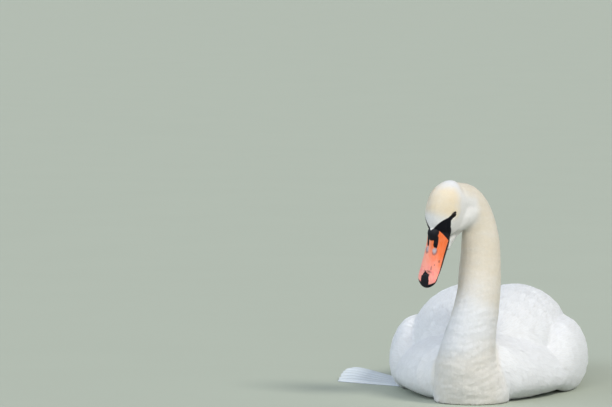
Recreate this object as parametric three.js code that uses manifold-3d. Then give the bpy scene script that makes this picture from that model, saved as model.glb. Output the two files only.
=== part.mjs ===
// A life-size mute swan resting on its belly: neck raised, head turned to its right and looking down,
// both wings folded, and the hand of the right wing let down so that its tip lies on the ground.
// Millimetres, +Z up. The swan faces -Y and its left side is +X. The origin is under the belly, on the floor.
import * as THREE from "three";
import { mergeVertices } from "three/addons/utils/BufferGeometryUtils.js";
import Module from "manifold-3d";

const wasm = await Module();
wasm.setup();

// ---------- driving dimensions ----------
const GAP = 0.4; // clearance between touching pieces
const BODY_FRONT = -254; // foremost point of the breast, behind the neck's foot
const RUMP_END = 372; // where the trunk ends under the tail
const SCAPULAR_FRONT = -168; // front of the rounded shoulder feathers on each side of the back
const SCAPULAR_END = 338; // tips of the longest tertials, over the rump
const COVERT_FRONT = -100; // wrist of the folded wing
const COVERT_END = 292; // tips of the folded secondaries
const TAIL_ROOT = 268;
const TAIL_TIP = 452;

const HEAD_AT = new THREE.Vector3(-39.2, -247, 340); // middle of the skull
const HEAD_TURN = 25.0; // degrees to its right
const HEAD_DROP = 76; // degrees that the bill points below level
const HEAD_LEAN = 9.8; // degrees that the hanging bill swings to its right
const HEAD_BACK = -50; // back of the skull, along the bill's direction
const HEAD_FRONT = 53;
const BILL_ROOT = 28;
const BILL_TIP = 142;
const MOUTH_LEVEL = -12.4; // height of the gape in the head's own frame
const EYE_RADIUS = 6.2;
const EYE_AT = new THREE.Vector3(8, 25.2, 9); // left eye, in the head's own frame

const FOOT_ROOT = new THREE.Vector3(76, 66, 0); // left foot, where the toes join
const TOE_THICK = 8;
const WEB_THICK = 3.5;
const SHANK_LENGTH = 96;

// ---------- looks ----------
const LOOKS = {
  plumage: { color: 0xf1f0ea, roughness: 0.85, metalness: 0 },
  neckPlumage: { color: 0xece4d2, roughness: 0.9, metalness: 0 },
  bill: { color: 0xe8714a, roughness: 0.45, metalness: 0 },
  billEdge: { color: 0x3a201a, roughness: 0.5, metalness: 0 },
  eye: { color: 0x1a0f0a, roughness: 0.08, metalness: 0 },
  footSkin: { color: 0x26262a, roughness: 0.6, metalness: 0 },
};

// ---------- tools ----------
const rad = THREE.MathUtils.degToRad;

// A named size at a place along a piece, from rows of sizes: a smooth cubic through the rows.
function sizeAt(rows, name, place) {
  const last = rows.length - 1;
  if (place <= rows[0].at) return rows[0][name];
  if (place >= rows[last].at) return rows[last][name];
  const i = rows.findIndex((row) => row.at > place) - 1;
  const slope = (j) => {
    const a = rows[Math.max(0, j - 1)];
    const b = rows[Math.min(last, j + 1)];
    return (b[name] - a[name]) / (b.at - a.at);
  };
  const span = rows[i + 1].at - rows[i].at;
  const t = (place - rows[i].at) / span;
  const step = t * t * (3 - 2 * t);
  const lead = span * (t - 2 * t * t + t * t * t) * slope(i);
  const tail = span * (t * t * t - t * t) * slope(i + 1);
  return rows[i][name] * (1 - step) + rows[i + 1][name] * step + lead + tail;
}

// How full a rounded end is: 0 at the very end and 1 from the distance given onwards.
function rounding(distance, reach) {
  if (reach <= 0 || distance >= reach) return 1;
  return Math.sqrt(Math.max(0, 1 - (1 - distance / reach) ** 2));
}

// Places from start to end, closer together at both ends.
function places(start, end, count, crowding = 0.7) {
  const list = [];
  for (let i = 0; i <= count; i++) {
    const even = i / count;
    const bunched = 0.5 - 0.5 * Math.cos(Math.PI * even);
    list.push(start + (end - start) * (even * (1 - crowding) + bunched * crowding));
  }
  return list;
}

// Powers of a circle's cosine and sine that make a section squarer than an ellipse, or sharper.
const bent = (value, power) => Math.sign(value) * Math.abs(value) ** (2 / power);

// One ring of a section. It has a middle, two directions, a half width, and a height above and below.
function ringPoints(section, segments) {
  const { middle, across, up, half, above, below } = section;
  const tilt = rad(section.tilt ?? 0);
  const powerAbove = section.powerAbove ?? 2;
  const powerBelow = section.powerBelow ?? 2;
  const points = [];
  for (let k = 0; k < segments; k++) {
    const angle = (2 * Math.PI * k) / segments;
    const power = Math.sin(angle) >= 0 ? powerAbove : powerBelow;
    const w = half * bent(Math.cos(angle), power);
    const h = (Math.sin(angle) >= 0 ? above : below) * bent(Math.sin(angle), power);
    points.push(
      middle
        .clone()
        .addScaledVector(across, w * Math.cos(tilt) - h * Math.sin(tilt))
        .addScaledVector(up, w * Math.sin(tilt) + h * Math.cos(tilt)),
    );
  }
  return points;
}

// A closed solid through sections. A section whose half width is 0 is one point, and a flat end gets a cap.
function loft(sections, segments) {
  const points = [];
  const faces = [];
  const rings = sections.map((section) => {
    const start = points.length;
    const single = section.half < 1e-6;
    points.push(...(single ? [section.middle.clone()] : ringPoints(section, segments)));
    return { start, single };
  });
  const corner = (ring, k) => (ring.single ? ring.start : ring.start + (k % segments));
  for (let i = 0; i + 1 < rings.length; i++) {
    for (let k = 0; k < segments; k++) {
      const here = [corner(rings[i], k), corner(rings[i], k + 1)];
      const next = [corner(rings[i + 1], k), corner(rings[i + 1], k + 1)];
      if (!rings[i].single) faces.push([here[0], here[1], next[1]]);
      if (!rings[i + 1].single) faces.push([here[0], next[1], next[0]]);
    }
  }
  for (const [ring, section, first] of [
    [rings[0], sections[0], true],
    [rings.at(-1), sections.at(-1), false],
  ]) {
    if (ring.single) continue;
    const centre = points.length;
    points.push(section.middle.clone());
    for (let k = 0; k < segments; k++) {
      const edge = [corner(ring, k), corner(ring, k + 1)];
      faces.push(first ? [centre, edge[1], edge[0]] : [centre, edge[0], edge[1]]);
    }
  }
  const geometry = new THREE.BufferGeometry().setFromPoints(points);
  geometry.setIndex(faces.flat());
  return geometry;
}

// A three.js geometry as a manifold-3d solid, turned the right way out.
function solid(geometry) {
  const bare = new THREE.BufferGeometry().setAttribute("position", geometry.getAttribute("position"));
  bare.setIndex(geometry.index);
  const merged = mergeVertices(bare, 1e-4);
  const corners = Array.from(merged.index.array);
  const build = (order) =>
    new wasm.Manifold(
      new wasm.Mesh({
        numProp: 3,
        vertProperties: new Float32Array(merged.attributes.position.array),
        triVerts: new Uint32Array(order),
      }),
    );
  const made = build(corners);
  return made.volume() < 0 ? build(corners.reverse()) : made;
}

// A manifold-3d solid as a named three.js mesh.
function meshOf(name, body, look) {
  const mesh = body.getMesh();
  const geometry = new THREE.BufferGeometry();
  geometry.setAttribute("position", new THREE.BufferAttribute(new Float32Array(mesh.vertProperties), 3));
  geometry.setIndex(new THREE.BufferAttribute(new Uint32Array(mesh.triVerts), 1));
  geometry.computeVertexNormals();
  const made = new THREE.Mesh(geometry, new THREE.MeshStandardMaterial(look));
  made.name = name;
  return made;
}

// The largest single body of a cut, so that no crumb is left beside it.
function mainBody(body) {
  return body.decompose().reduce((a, b) => (a.volume() > b.volume() ? a : b));
}

const ABOVE_FLOOR = solid(new THREE.BoxGeometry(1400, 1400, 900).translate(0, 0, 450));

// ---------- trunk ----------
const TRUNK_ROWS = [
  { at: BODY_FRONT, half: 62, level: 50, top: 100, low: 14, sharp: 2.0 },
  { at: -215, half: 94, level: 44, top: 112, low: 0, sharp: 1.95 },
  { at: -170, half: 123, level: 39, top: 120, low: -5, sharp: 1.9 },
  { at: -110, half: 146, level: 34, top: 125, low: -6, sharp: 1.85 },
  { at: -50, half: 158, level: 30, top: 123, low: -6, sharp: 1.75 },
  { at: 10, half: 154, level: 38, top: 150, low: -6, sharp: 1.75 },
  { at: 90, half: 137, level: 50, top: 164, low: -6, sharp: 1.9 },
  { at: 170, half: 120, level: 60, top: 158, low: -2, sharp: 2.1 },
  { at: 240, half: 97, level: 75, top: 147, low: 18, sharp: 2.1 },
  { at: 310, half: 68, level: 93, top: 134, low: 50, sharp: 2.0 },
  { at: RUMP_END, half: 40, level: 106, top: 124, low: 84, sharp: 2.0 },
];

function trunk(grow = 0) {
  const sections = places(BODY_FRONT - grow, RUMP_END + grow, 16).map((y) => {
    const full = rounding(y - BODY_FRONT + grow, 46) * rounding(RUMP_END + grow - y, 60);
    const size = (name) => sizeAt(TRUNK_ROWS, name, y);
    return {
      middle: new THREE.Vector3(0, y, size("level")),
      across: new THREE.Vector3(1, 0, 0),
      up: new THREE.Vector3(0, 0, 1),
      half: full * (size("half") + grow),
      above: full * (size("top") - size("level") + grow),
      below: full * (size("level") - size("low") + grow),
      powerAbove: size("sharp"),
      powerBelow: 2.5,
    };
  });
  return solid(loft(sections, 28));
}

// ---------- wings ----------
// The shoulder feathers and tertials of one side: a long rounded lobe beside the back.
const SCAPULAR_ROWS = [
  { at: SCAPULAR_FRONT, out: 50, level: 92, half: 34, high: 20, lean: -46 },
  { at: -150, out: 54, level: 99, half: 44, high: 25, lean: -45 },
  { at: -105, out: 60, level: 111, half: 62, high: 34, lean: -42 },
  { at: -50, out: 65, level: 124, half: 74, high: 41, lean: -38 },
  { at: 10, out: 66, level: 132, half: 74, high: 44, lean: -31 },
  { at: 80, out: 65, level: 131, half: 71, high: 44, lean: -28 },
  { at: 150, out: 60, level: 127, half: 62, high: 41, lean: -26 },
  { at: 220, out: 49, level: 124, half: 50, high: 33, lean: -24 },
  { at: 285, out: 37, level: 125, half: 35, high: 22, lean: -20 },
  { at: SCAPULAR_END, out: 26, level: 129, half: 21, high: 11, lean: -14 },
];

// The folded forearm and secondaries of one side: a tall lobe against the flank.
const COVERT_ROWS = [
  { at: COVERT_FRONT, out: 126, level: 50, half: 22, high: 26, lean: 7 },
  { at: -68, out: 134, level: 56, half: 30, high: 48, lean: 7 },
  { at: -20, out: 137, level: 62, half: 36.5, high: 64, lean: 7 },
  { at: 45, out: 137, level: 62, half: 39, high: 65, lean: 7 },
  { at: 115, out: 127, level: 66, half: 36, high: 55, lean: 6 },
  { at: 185, out: 109, level: 78, half: 31, high: 41, lean: 4 },
  { at: 245, out: 88, level: 93, half: 24, high: 28, lean: 0 },
  { at: COVERT_END, out: 69, level: 105, half: 15, high: 14, lean: -6 },
];

// One lobe of a folded wing. A row's lean is the angle, in degrees, that its outer edge is raised.
function lobe(rows, side, { rings, segments, frontReach, endReach, grow = 0 }) {
  const start = rows[0].at;
  const end = rows.at(-1).at;
  const sections = places(start - grow, end + grow, rings).map((y) => {
    const full = rounding(y - start + grow, frontReach) * rounding(end + grow - y, endReach);
    const size = (name) => sizeAt(rows, name, y);
    return {
      middle: new THREE.Vector3(side * size("out"), y, size("level")),
      across: new THREE.Vector3(1, 0, 0),
      up: new THREE.Vector3(0, 0, 1),
      half: full * (size("half") + grow),
      above: full * (size("high") + grow),
      below: full * (size("high") + grow),
      tilt: side * size("lean"),
    };
  });
  return solid(loft(sections, segments));
}

const scapulars = (side, grow) =>
  lobe(SCAPULAR_ROWS, side, { rings: 12, segments: 20, frontReach: 60, endReach: 50, grow });
const coverts = (side, grow) =>
  lobe(COVERT_ROWS, side, { rings: 12, segments: 18, frontReach: 50, endReach: 44, grow });

// A fan of long feathers, each a flat blade with a blunt tip, overlapping from root to tip.
function featherFan({ root, tips, face, rootHalf, tipHalf, rootThick, tipThick, grow = 0 }) {
  return tips
    .map((tip) => {
      const along = tip.clone().sub(root);
      const length = along.length();
      along.normalize();
      const up = face.clone().addScaledVector(along, -face.dot(along)).normalize();
      const across = new THREE.Vector3().crossVectors(up, along).normalize();
      const sections = places(-grow, length + grow, 7, 0.95).map((d) => {
        const share = THREE.MathUtils.clamp(d / length, 0, 1);
        const full = rounding(d + grow, 10) * rounding(length + grow - d, tipHalf);
        const thick = full * (THREE.MathUtils.lerp(rootThick, tipThick, share) / 2 + grow);
        const half = full * (THREE.MathUtils.lerp(rootHalf, tipHalf, share) + grow);
        const middle = root.clone().addScaledVector(along, d);
        return { middle, across, up, half, above: thick, below: thick, powerAbove: 2.4, powerBelow: 2.4 };
      });
      return solid(loft(sections, 10));
    })
    .reduce((a, b) => a.add(b));
}

// Folded left primaries: they show beyond the tertials, over the rump.
const LEFT_PRIMARIES = {
  root: new THREE.Vector3(64, 236, 122),
  tips: [new THREE.Vector3(34, 372, 137), new THREE.Vector3(22, 392, 143), new THREE.Vector3(9, 408, 148)],
  face: new THREE.Vector3(0.45, 0, 1),
  rootHalf: 22,
  tipHalf: 12,
  rootThick: 14,
  tipThick: 5,
};

// Right primaries, let down beside the body: their outer part lies on the ground, facing up and forwards.
const RIGHT_PRIMARIES = {
  root: new THREE.Vector3(-128, 6, 0),
  tips: [new THREE.Vector3(-283, 86, 0), new THREE.Vector3(-278, 98, 5), new THREE.Vector3(-269, 104, 11)],
  face: new THREE.Vector3(-0.35, -0.62, 0.7),
  rootHalf: 7,
  tipHalf: 14,
  rootThick: 9,
  tipThick: 6,
};

// ---------- tail ----------
const TAIL_ROWS = [
  { at: TAIL_ROOT, half: 48, level: 104, thick: 26 },
  { at: 330, half: 52, level: 108, thick: 20 },
  { at: 390, half: 46, level: 116, thick: 12 },
  { at: TAIL_TIP, half: 26, level: 126, thick: 7 },
];

function tail() {
  const sections = places(TAIL_ROOT, TAIL_TIP, 9).map((y) => {
    const full = rounding(TAIL_TIP - y, 46) * rounding(y - TAIL_ROOT, 12);
    const size = (name) => sizeAt(TAIL_ROWS, name, y);
    return {
      middle: new THREE.Vector3(0, y, size("level")),
      across: new THREE.Vector3(1, 0, 0),
      up: new THREE.Vector3(0, 0, 1),
      half: full * size("half"),
      above: (full * size("thick")) / 2,
      below: (full * size("thick")) / 2,
      powerAbove: 2.2,
      powerBelow: 2.2,
    };
  });
  return solid(loft(sections, 18));
}

// ---------- neck ----------
// Middle of the neck from its foot on the ground to the back of the skull, with half width and depth.
const NECK_ROWS = [
  { x: 3, y: -200, z: -30, half: 58, deep: 42 },
  { x: 3, y: -221, z: 16, half: 66, deep: 56 },
  { x: -3, y: -236, z: 64, half: 54, deep: 54 },
  { x: 4, y: -237, z: 116, half: 44, deep: 46 },
  { x: 15, y: -222, z: 178, half: 38.2, deep: 41 },
  { x: 16, y: -206, z: 230, half: 36.3, deep: 37 },
  { x: 15.5, y: -196, z: 280, half: 33, deep: 34 },
  { x: 12.5, y: -194, z: 304, half: 30.5, deep: 32 },
  { x: 5.5, y: -198, z: 328, half: 29, deep: 30.5 },
  { x: -3.5, y: -206, z: 345, half: 28.5, deep: 30 },
  { x: -14.5, y: -218, z: 354, half: 27.5, deep: 29 },
  { x: -27, y: -232, z: 355, half: 26, deep: 28 },
];
const NECK_LINE = new THREE.CatmullRomCurve3(NECK_ROWS.map((row) => new THREE.Vector3(row.x, row.y, row.z)));
const NECK_CUTS = [0, 0.33, 0.62, 1]; // shares of the neck line where its three lengths part
const NECK_RINGS = [7, 5, 8];

function neckSection(share, grow) {
  const place = share * (NECK_ROWS.length - 1);
  const rows = NECK_ROWS.map((row, i) => ({ at: i, half: row.half, deep: row.deep }));
  const heading = NECK_LINE.getTangent(share);
  const left = new THREE.Vector3(1, 0, 0);
  const across = left.addScaledVector(heading, -left.dot(heading)).normalize();
  const up = new THREE.Vector3().crossVectors(across, heading).normalize();
  const half = sizeAt(rows, "half", place) + grow;
  const deep = sizeAt(rows, "deep", place) + grow;
  return { middle: NECK_LINE.getPoint(share), across, up, half, above: deep, below: deep };
}

// One of the neck's lengths, or the whole neck as one cutter with the same sections.
function neckLength(i, grow = 0) {
  const slack = 0.0006; // half of the thin gap between two lengths, as a share of the neck line
  const start = NECK_CUTS[i] + (i > 0 ? slack : 0);
  const end = NECK_CUTS[i + 1] - (i < 2 ? slack : 0);
  const sections = [];
  for (let k = 0; k <= NECK_RINGS[i]; k++) {
    sections.push(neckSection(start + ((end - start) * k) / NECK_RINGS[i], grow));
  }
  return solid(loft(sections, 20));
}

// The soft fold of throat feathers from the chin to the left of the neck, pushed out by the bent head.
const THROAT_ROWS = [
  { x: -38, y: -238, z: 303, round: 16 },
  { x: -27, y: -233, z: 313, round: 19.5 },
  { x: -13, y: -226, z: 324, round: 21 },
  { x: 0, y: -217, z: 332, round: 20.5 },
  { x: 11, y: -207, z: 336, round: 17.5 },
  { x: 19, y: -196, z: 337, round: 12 },
];

function throatFold() {
  const line = new THREE.CatmullRomCurve3(THROAT_ROWS.map((row) => new THREE.Vector3(row.x, row.y, row.z)));
  const rows = THROAT_ROWS.map((row, i) => ({ at: i, round: row.round }));
  const last = rows.length - 1;
  const sections = places(0, last, 7, 0).map((place) => {
    const heading = line.getTangent(place / last);
    const across = new THREE.Vector3(-heading.y, heading.x, 0).normalize();
    const up = new THREE.Vector3().crossVectors(heading, across).normalize();
    const round = sizeAt(rows, "round", place);
    return { middle: line.getPoint(place / last), across, up, half: round, above: round, below: round };
  });
  return solid(loft(sections, 14));
}

// ---------- head, in its own frame: +X along the bill, +Y left, +Z towards the crown ----------
const HEAD_ROWS = [
  { at: HEAD_BACK, half: 24, top: 20, low: -26 },
  { at: -40, half: 27, top: 25, low: -31 },
  { at: -24, half: 30.5, top: 31, low: -39 },
  { at: -6, half: 32, top: 34, low: -45 },
  { at: 10, half: 31.5, top: 33.5, low: -49 },
  { at: 24, half: 28.5, top: 30, low: -50 },
  { at: 36, half: 24, top: 25.5, low: -46 },
  { at: HEAD_FRONT, half: 17, top: 18, low: -28 },
];
const CHIN_ROWS = [
  { at: 14, half: 25, top: -12, low: -49 },
  { at: 38, half: 21.5, top: -14, low: -46.5 },
  { at: 50, half: 19, top: -14.6, low: -41 },
  { at: 62, half: 16.5, top: -15.4, low: -34.5 },
  { at: 77, half: 11, top: -16, low: -25 },
];
const BILL_ROWS = [
  { at: BILL_ROOT, half: 19.8, top: 21, sharp: 1.9 },
  { at: 38, half: 20, top: 24.4, sharp: 1.9 },
  { at: 46, half: 20, top: 25.4, sharp: 1.85 },
  { at: 54, half: 19.5, top: 21, sharp: 1.8 },
  { at: 62, half: 19.1, top: 15.4, sharp: 1.8 },
  { at: 74, half: 19.0, top: 9.6, sharp: 1.9 },
  { at: 92, half: 19.3, top: 5.2, sharp: 2.0 },
  { at: 110, half: 19.7, top: 1.8, sharp: 2.1 },
  { at: 126, half: 19.5, top: -1.2, sharp: 2.2 },
  { at: BILL_TIP, half: 16.8, top: -5.5, sharp: 2.2 },
];
const LOWER_BILL_ROWS = [
  { at: 34, half: 19, low: -20 },
  { at: 70, half: 17.4, low: -18.6 },
  { at: 110, half: 16.2, low: -16.8 },
  { at: 137, half: 11.6, low: -15.2 },
];

// A solid along the head's own X axis, from its rows of half width, top and low.
function alongHead(rows, shape) {
  const { start, end, rings, segments, startReach = 0, endReach = 0, level, above, below, grow = 0 } = shape;
  const sections = places(start - grow, end + grow, rings).map((x) => {
    const full = rounding(x - start + grow, startReach) * rounding(end + grow - x, endReach);
    const size = (name) => sizeAt(rows, name, x);
    const middle = level ?? (size("top") + size("low")) / 2;
    return {
      middle: new THREE.Vector3(x, 0, middle),
      across: new THREE.Vector3(0, 1, 0),
      up: new THREE.Vector3(0, 0, 1),
      half: full * (size("half") + grow),
      above: full * ((above ? above(size) : size("top")) - middle + grow),
      below: full * (middle - (below ? below(size) : size("low")) + grow),
      powerAbove: rows[0].sharp ? size("sharp") : 2,
      powerBelow: 2.2,
    };
  });
  return solid(loft(sections, segments));
}

function skull(grow = 0) {
  const dome = { start: HEAD_BACK, end: HEAD_FRONT, rings: 14, segments: 22, startReach: 34, endReach: 20 };
  const chin = { start: 14, end: 77, rings: 7, segments: 14, startReach: 8, endReach: 12, grow };
  return alongHead(HEAD_ROWS, { ...dome, level: 0, grow }).add(alongHead(CHIN_ROWS, chin));
}

const BILL_LEVEL = -7.5; // widest level of the upper bill, a little over its cutting edge
const upperBill = () =>
  alongHead(BILL_ROWS, {
    start: BILL_ROOT,
    end: BILL_TIP,
    rings: 15,
    segments: 16,
    endReach: 17,
    level: BILL_LEVEL,
    below: () => MOUTH_LEVEL,
  });
const lowerBill = () =>
  alongHead(LOWER_BILL_ROWS, {
    start: 34,
    end: 137,
    rings: 8,
    segments: 14,
    endReach: 14,
    level: MOUTH_LEVEL - GAP - 2.2,
    above: () => MOUTH_LEVEL - GAP,
  });

const eyeBall = (side, grow = 0) =>
  solid(
    new THREE.SphereGeometry(EYE_RADIUS + grow, 12, 8).translate(EYE_AT.x, side * EYE_AT.y, EYE_AT.z),
  );

// The head's own frame as a matrix: it turns, then drops the bill, then leans.
const headFrame = new THREE.Matrix4().makeBasis(
  new THREE.Vector3(0, -1, 0),
  new THREE.Vector3(1, 0, 0),
  new THREE.Vector3(0, 0, 1),
);
headFrame.premultiply(new THREE.Matrix4().makeRotationZ(rad(-HEAD_TURN)));
headFrame.multiply(new THREE.Matrix4().makeRotationY(rad(HEAD_DROP)));
headFrame.multiply(new THREE.Matrix4().makeRotationZ(rad(-HEAD_LEAN)));
headFrame.setPosition(HEAD_AT);

// ---------- feet, tucked under the belly ----------
// Three toes with a web between them, flat on the floor and pointing forwards, and a short hind toe.
const TOES = [
  { splay: -17, length: 98, claw: 9 },
  { splay: 1, length: 120, claw: 11 },
  { splay: 17, length: 112, claw: 9 },
];

// A tapering rounded bar that lies level.
function bar(from, to, halfFrom, halfTo, high, grow = 0, rings = 3) {
  const heading = to.clone().sub(from);
  const length = heading.length();
  heading.normalize();
  const across = new THREE.Vector3(heading.y, -heading.x, 0).normalize();
  const sections = places(-grow, length + grow, rings).map((d) => {
    const share = THREE.MathUtils.clamp(d / length, 0, 1);
    const full = rounding(d + grow, halfFrom) * rounding(length + grow - d, halfTo * 2);
    return {
      middle: from.clone().addScaledVector(heading, d),
      across,
      up: new THREE.Vector3(0, 0, 1),
      half: full * (THREE.MathUtils.lerp(halfFrom, halfTo, share) + grow),
      above: full * (high * (1 - 0.45 * share) + grow),
      below: full * (high * 0.6 + grow),
    };
  });
  return solid(loft(sections, 6));
}

// A point along a toe, at the height of its middle.
const alongToe = (side, toe, length, high = 2.4) =>
  new THREE.Vector3(
    side * (FOOT_ROOT.x + length * Math.sin(rad(toe.splay))),
    FOOT_ROOT.y - length * Math.cos(rad(toe.splay)),
    high,
  );

function foot(side, grow = 0) {
  const root = new THREE.Vector3(side * FOOT_ROOT.x, FOOT_ROOT.y, 3.4);
  const hindTip = new THREE.Vector3(side * (FOOT_ROOT.x - 13), FOOT_ROOT.y + 12, 3);
  let body = bar(root, hindTip, 3.6, 1.6, 3.6, grow);
  const web = new THREE.Shape();
  web.moveTo(root.x, root.y + 3);
  TOES.forEach((toe, i) => {
    const edge = alongToe(side, toe, toe.length - 8);
    if (i > 0) {
      const before = alongToe(side, TOES[i - 1], TOES[i - 1].length - 8);
      web.quadraticCurveTo((edge.x + before.x) / 2, (edge.y + before.y) / 2 + 14 - grow, edge.x, edge.y);
    } else {
      web.lineTo(edge.x, edge.y);
    }
    body = body.add(bar(root, alongToe(side, toe, toe.length), 5.4, 3.4, TOE_THICK / 2, grow));
    const clawRoot = alongToe(side, toe, toe.length - 6);
    body = body.add(bar(clawRoot, alongToe(side, toe, toe.length + toe.claw, 1.2), 2.6, 0.9, 2.6, grow, 2));
  });
  web.closePath();
  const flat = { depth: WEB_THICK + grow, bevelEnabled: false, curveSegments: 3 };
  return body.add(solid(new THREE.ExtrudeGeometry(web, flat)));
}

// The shank lies on the floor behind the foot, with the heel joint at its back end.
function shank(side, grow = 0) {
  const front = new THREE.Vector3(side * FOOT_ROOT.x, FOOT_ROOT.y - 4, 6);
  const heel = new THREE.Vector3(side * (FOOT_ROOT.x - 14), FOOT_ROOT.y + SHANK_LENGTH, 8);
  return bar(front, heel, 6, 9, 8, grow);
}

// ---------- putting it together ----------
const swan = new THREE.Group();
const both = [
  ["left", 1],
  ["right", -1],
];

const trunkGrown = trunk(GAP);
const headGrown = skull(GAP).transform(headFrame.elements);
const neckGrown = neckLength(0, GAP).add(neckLength(1, GAP)).add(neckLength(2, GAP));

const legsGrown = [1, -1].map((side) => foot(side, GAP).add(shank(side, GAP))).reduce((a, b) => a.add(b));

const trunkBody = mainBody(trunk().intersect(ABOVE_FLOOR).subtract(legsGrown).subtract(neckGrown));
swan.add(meshOf("trunk", trunkBody, LOOKS.plumage));

const tailBody = mainBody(tail().subtract(trunkGrown));
const rightPrimaries = featherFan(RIGHT_PRIMARIES).intersect(ABOVE_FLOOR);
const rightPrimariesGrown = featherFan({ ...RIGHT_PRIMARIES, grow: GAP });
const leftPrimariesGrown = featherFan({ ...LEFT_PRIMARIES, grow: GAP });

for (const [word, side] of both) {
  const shoulder = mainBody(scapulars(side, 0).subtract(trunkGrown).subtract(neckGrown));
  let wing = coverts(side, 0).subtract(trunkGrown).subtract(scapulars(side, GAP));
  wing = wing.subtract(legsGrown).intersect(ABOVE_FLOOR);
  if (side < 0) wing = wing.subtract(rightPrimariesGrown);
  // The two lobes' inner edges meet over the back, so each keeps to its own side of the middle.
  const half = solid(new THREE.BoxGeometry(600, 1400, 900).translate(side * (300 + GAP / 2), 0, 450));
  swan.add(meshOf(`wing_${word}_scapulars`, mainBody(shoulder.intersect(half)), LOOKS.plumage));
  swan.add(meshOf(`wing_${word}_coverts`, mainBody(wing), LOOKS.plumage));
}

const leftTips = featherFan(LEFT_PRIMARIES).subtract(trunkGrown).subtract(scapulars(1, GAP));
swan.add(meshOf("wing_left_primaries", mainBody(leftTips.subtract(coverts(1, GAP))), LOOKS.plumage));
swan.add(meshOf("wing_right_primaries", mainBody(rightPrimaries.subtract(trunkGrown)), LOOKS.plumage));
swan.add(meshOf("tail", mainBody(tailBody.subtract(leftPrimariesGrown)), LOOKS.plumage));

const NECK_NAMES = ["neck_lower", "neck_middle", "neck_upper"];
NECK_NAMES.forEach((name, i) => {
  let body = neckLength(i).intersect(ABOVE_FLOOR);
  if (i === 2) body = body.add(throatFold()).subtract(headGrown).subtract(neckLength(1, GAP));
  swan.add(meshOf(name, mainBody(body), LOOKS.neckPlumage));
});

// The head, eyes and bill share the head's own frame.
const headGroup = new THREE.Group();
headGroup.applyMatrix4(headFrame);
let headBody = skull();
for (const [word, side] of both) {
  headBody = headBody.subtract(eyeBall(side, GAP));
  headGroup.add(meshOf(`eye_${word}`, eyeBall(side), LOOKS.eye));
}
headGroup.add(meshOf("head", headBody, LOOKS.neckPlumage));
headGroup.add(meshOf("bill_upper", mainBody(upperBill().subtract(skull(GAP))), LOOKS.bill));
headGroup.add(meshOf("bill_lower", mainBody(lowerBill().subtract(skull(GAP))), LOOKS.billEdge));
swan.add(headGroup);

for (const [word, side] of both) {
  swan.add(meshOf(`foot_${word}`, foot(side).intersect(ABOVE_FLOOR), LOOKS.footSkin));
  const shankBody = shank(side).subtract(foot(side, GAP)).intersect(ABOVE_FLOOR);
  swan.add(meshOf(`leg_${word}`, mainBody(shankBody), LOOKS.footSkin));
}

export default swan;
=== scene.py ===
import heapq
from math import cos, pi, radians, sin, sqrt

import bmesh
import bpy
import numpy as np
from mathutils import Euler, Matrix, Vector, kdtree, noise
from mathutils.bvhtree import BVHTree


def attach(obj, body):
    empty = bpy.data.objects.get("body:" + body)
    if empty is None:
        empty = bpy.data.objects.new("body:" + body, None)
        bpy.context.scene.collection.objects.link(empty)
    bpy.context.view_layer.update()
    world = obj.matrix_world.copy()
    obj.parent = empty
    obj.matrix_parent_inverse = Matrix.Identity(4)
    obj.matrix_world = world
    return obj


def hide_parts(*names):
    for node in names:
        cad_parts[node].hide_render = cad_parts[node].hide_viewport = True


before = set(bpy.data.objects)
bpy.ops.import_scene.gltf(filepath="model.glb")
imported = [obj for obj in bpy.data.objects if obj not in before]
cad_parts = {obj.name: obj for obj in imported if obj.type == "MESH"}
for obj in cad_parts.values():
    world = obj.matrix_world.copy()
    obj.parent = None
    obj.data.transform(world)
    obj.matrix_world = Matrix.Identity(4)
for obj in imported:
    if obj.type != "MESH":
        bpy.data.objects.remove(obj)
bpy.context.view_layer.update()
mm = 0.001

# the head's own frame: x along the bill, y to the swan's left, z towards the crown
headPose = {"place": (-0.0392, -0.2470, 0.3400), "turn": 25.0, "drop": 76.0, "lean": 9.8}


def headAxes():
    forward = Matrix(((0, 1, 0), (-1, 0, 0), (0, 0, 1)))
    turn = Matrix.Rotation(radians(-headPose["turn"]), 3, "Z")
    drop = Matrix.Rotation(radians(headPose["drop"]), 3, "Y")
    lean = Matrix.Rotation(radians(-headPose["lean"]), 3, "Z")
    return np.array(turn @ forward @ drop @ lean)


headTurn = headAxes()
headPlace = np.array(headPose["place"])
headForward, headSide, headUp = headTurn.T


def toHead(points):  # world metres to the head's frame, in millimetres
    return (np.asarray(points) - headPlace) @ headTurn / mm


def fromHead(points):  # the head's frame, in millimetres, to world metres
    return np.asarray(points, float) * mm @ headTurn.T + headPlace


def smooth(value, low, high):
    share = np.clip((np.asarray(value, float) - low) / (high - low), 0, 1)
    return share * share * (3 - 2 * share)


def norms(vectors):
    return np.linalg.norm(vectors, axis=-1)


def steps(points, table):  # eased steps multiplied: axis, where each starts and where it is whole
    share = 1.0
    for axis, start, end in table:
        share = share * smooth(points[:, axis], start, end)
    return share


def unit(vectors):
    return vectors / np.maximum(norms(vectors), 1e-12)[..., None]


def flatten(vectors, normals):  # the part of each vector that lies in its surface
    return unit(vectors - (vectors * normals).sum(-1, keepdims=True) * normals)


def alongRows(rows, place, columns):  # smooth values through rows whose first number is the place
    table = np.array(rows, float)
    at = table[:, 0]
    place = np.clip(place, at[0], at[-1])
    i = np.clip(np.searchsorted(at, place, side="right") - 1, 0, len(at) - 2)
    slopes = np.gradient(table, at, axis=0)
    span = at[i + 1] - at[i]
    t = (place - at[i]) / span
    ease = t * t * (3 - 2 * t)
    found = []
    for c in range(1, columns + 1):
        lead = span * (t - 2 * t * t + t ** 3) * slopes[i, c]
        tail = span * (t ** 3 - t * t) * slopes[i + 1, c]
        found.append(table[i, c] * (1 - ease) + table[i + 1, c] * ease + lead + tail)
    return found


def ripple(points, scale, seed=0.0):  # soft noise from -1 to 1 at each point
    shifted = np.asarray(points) * np.asarray(scale) + seed
    return np.array([noise.noise(p) for p in shifted.tolist()])


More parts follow.
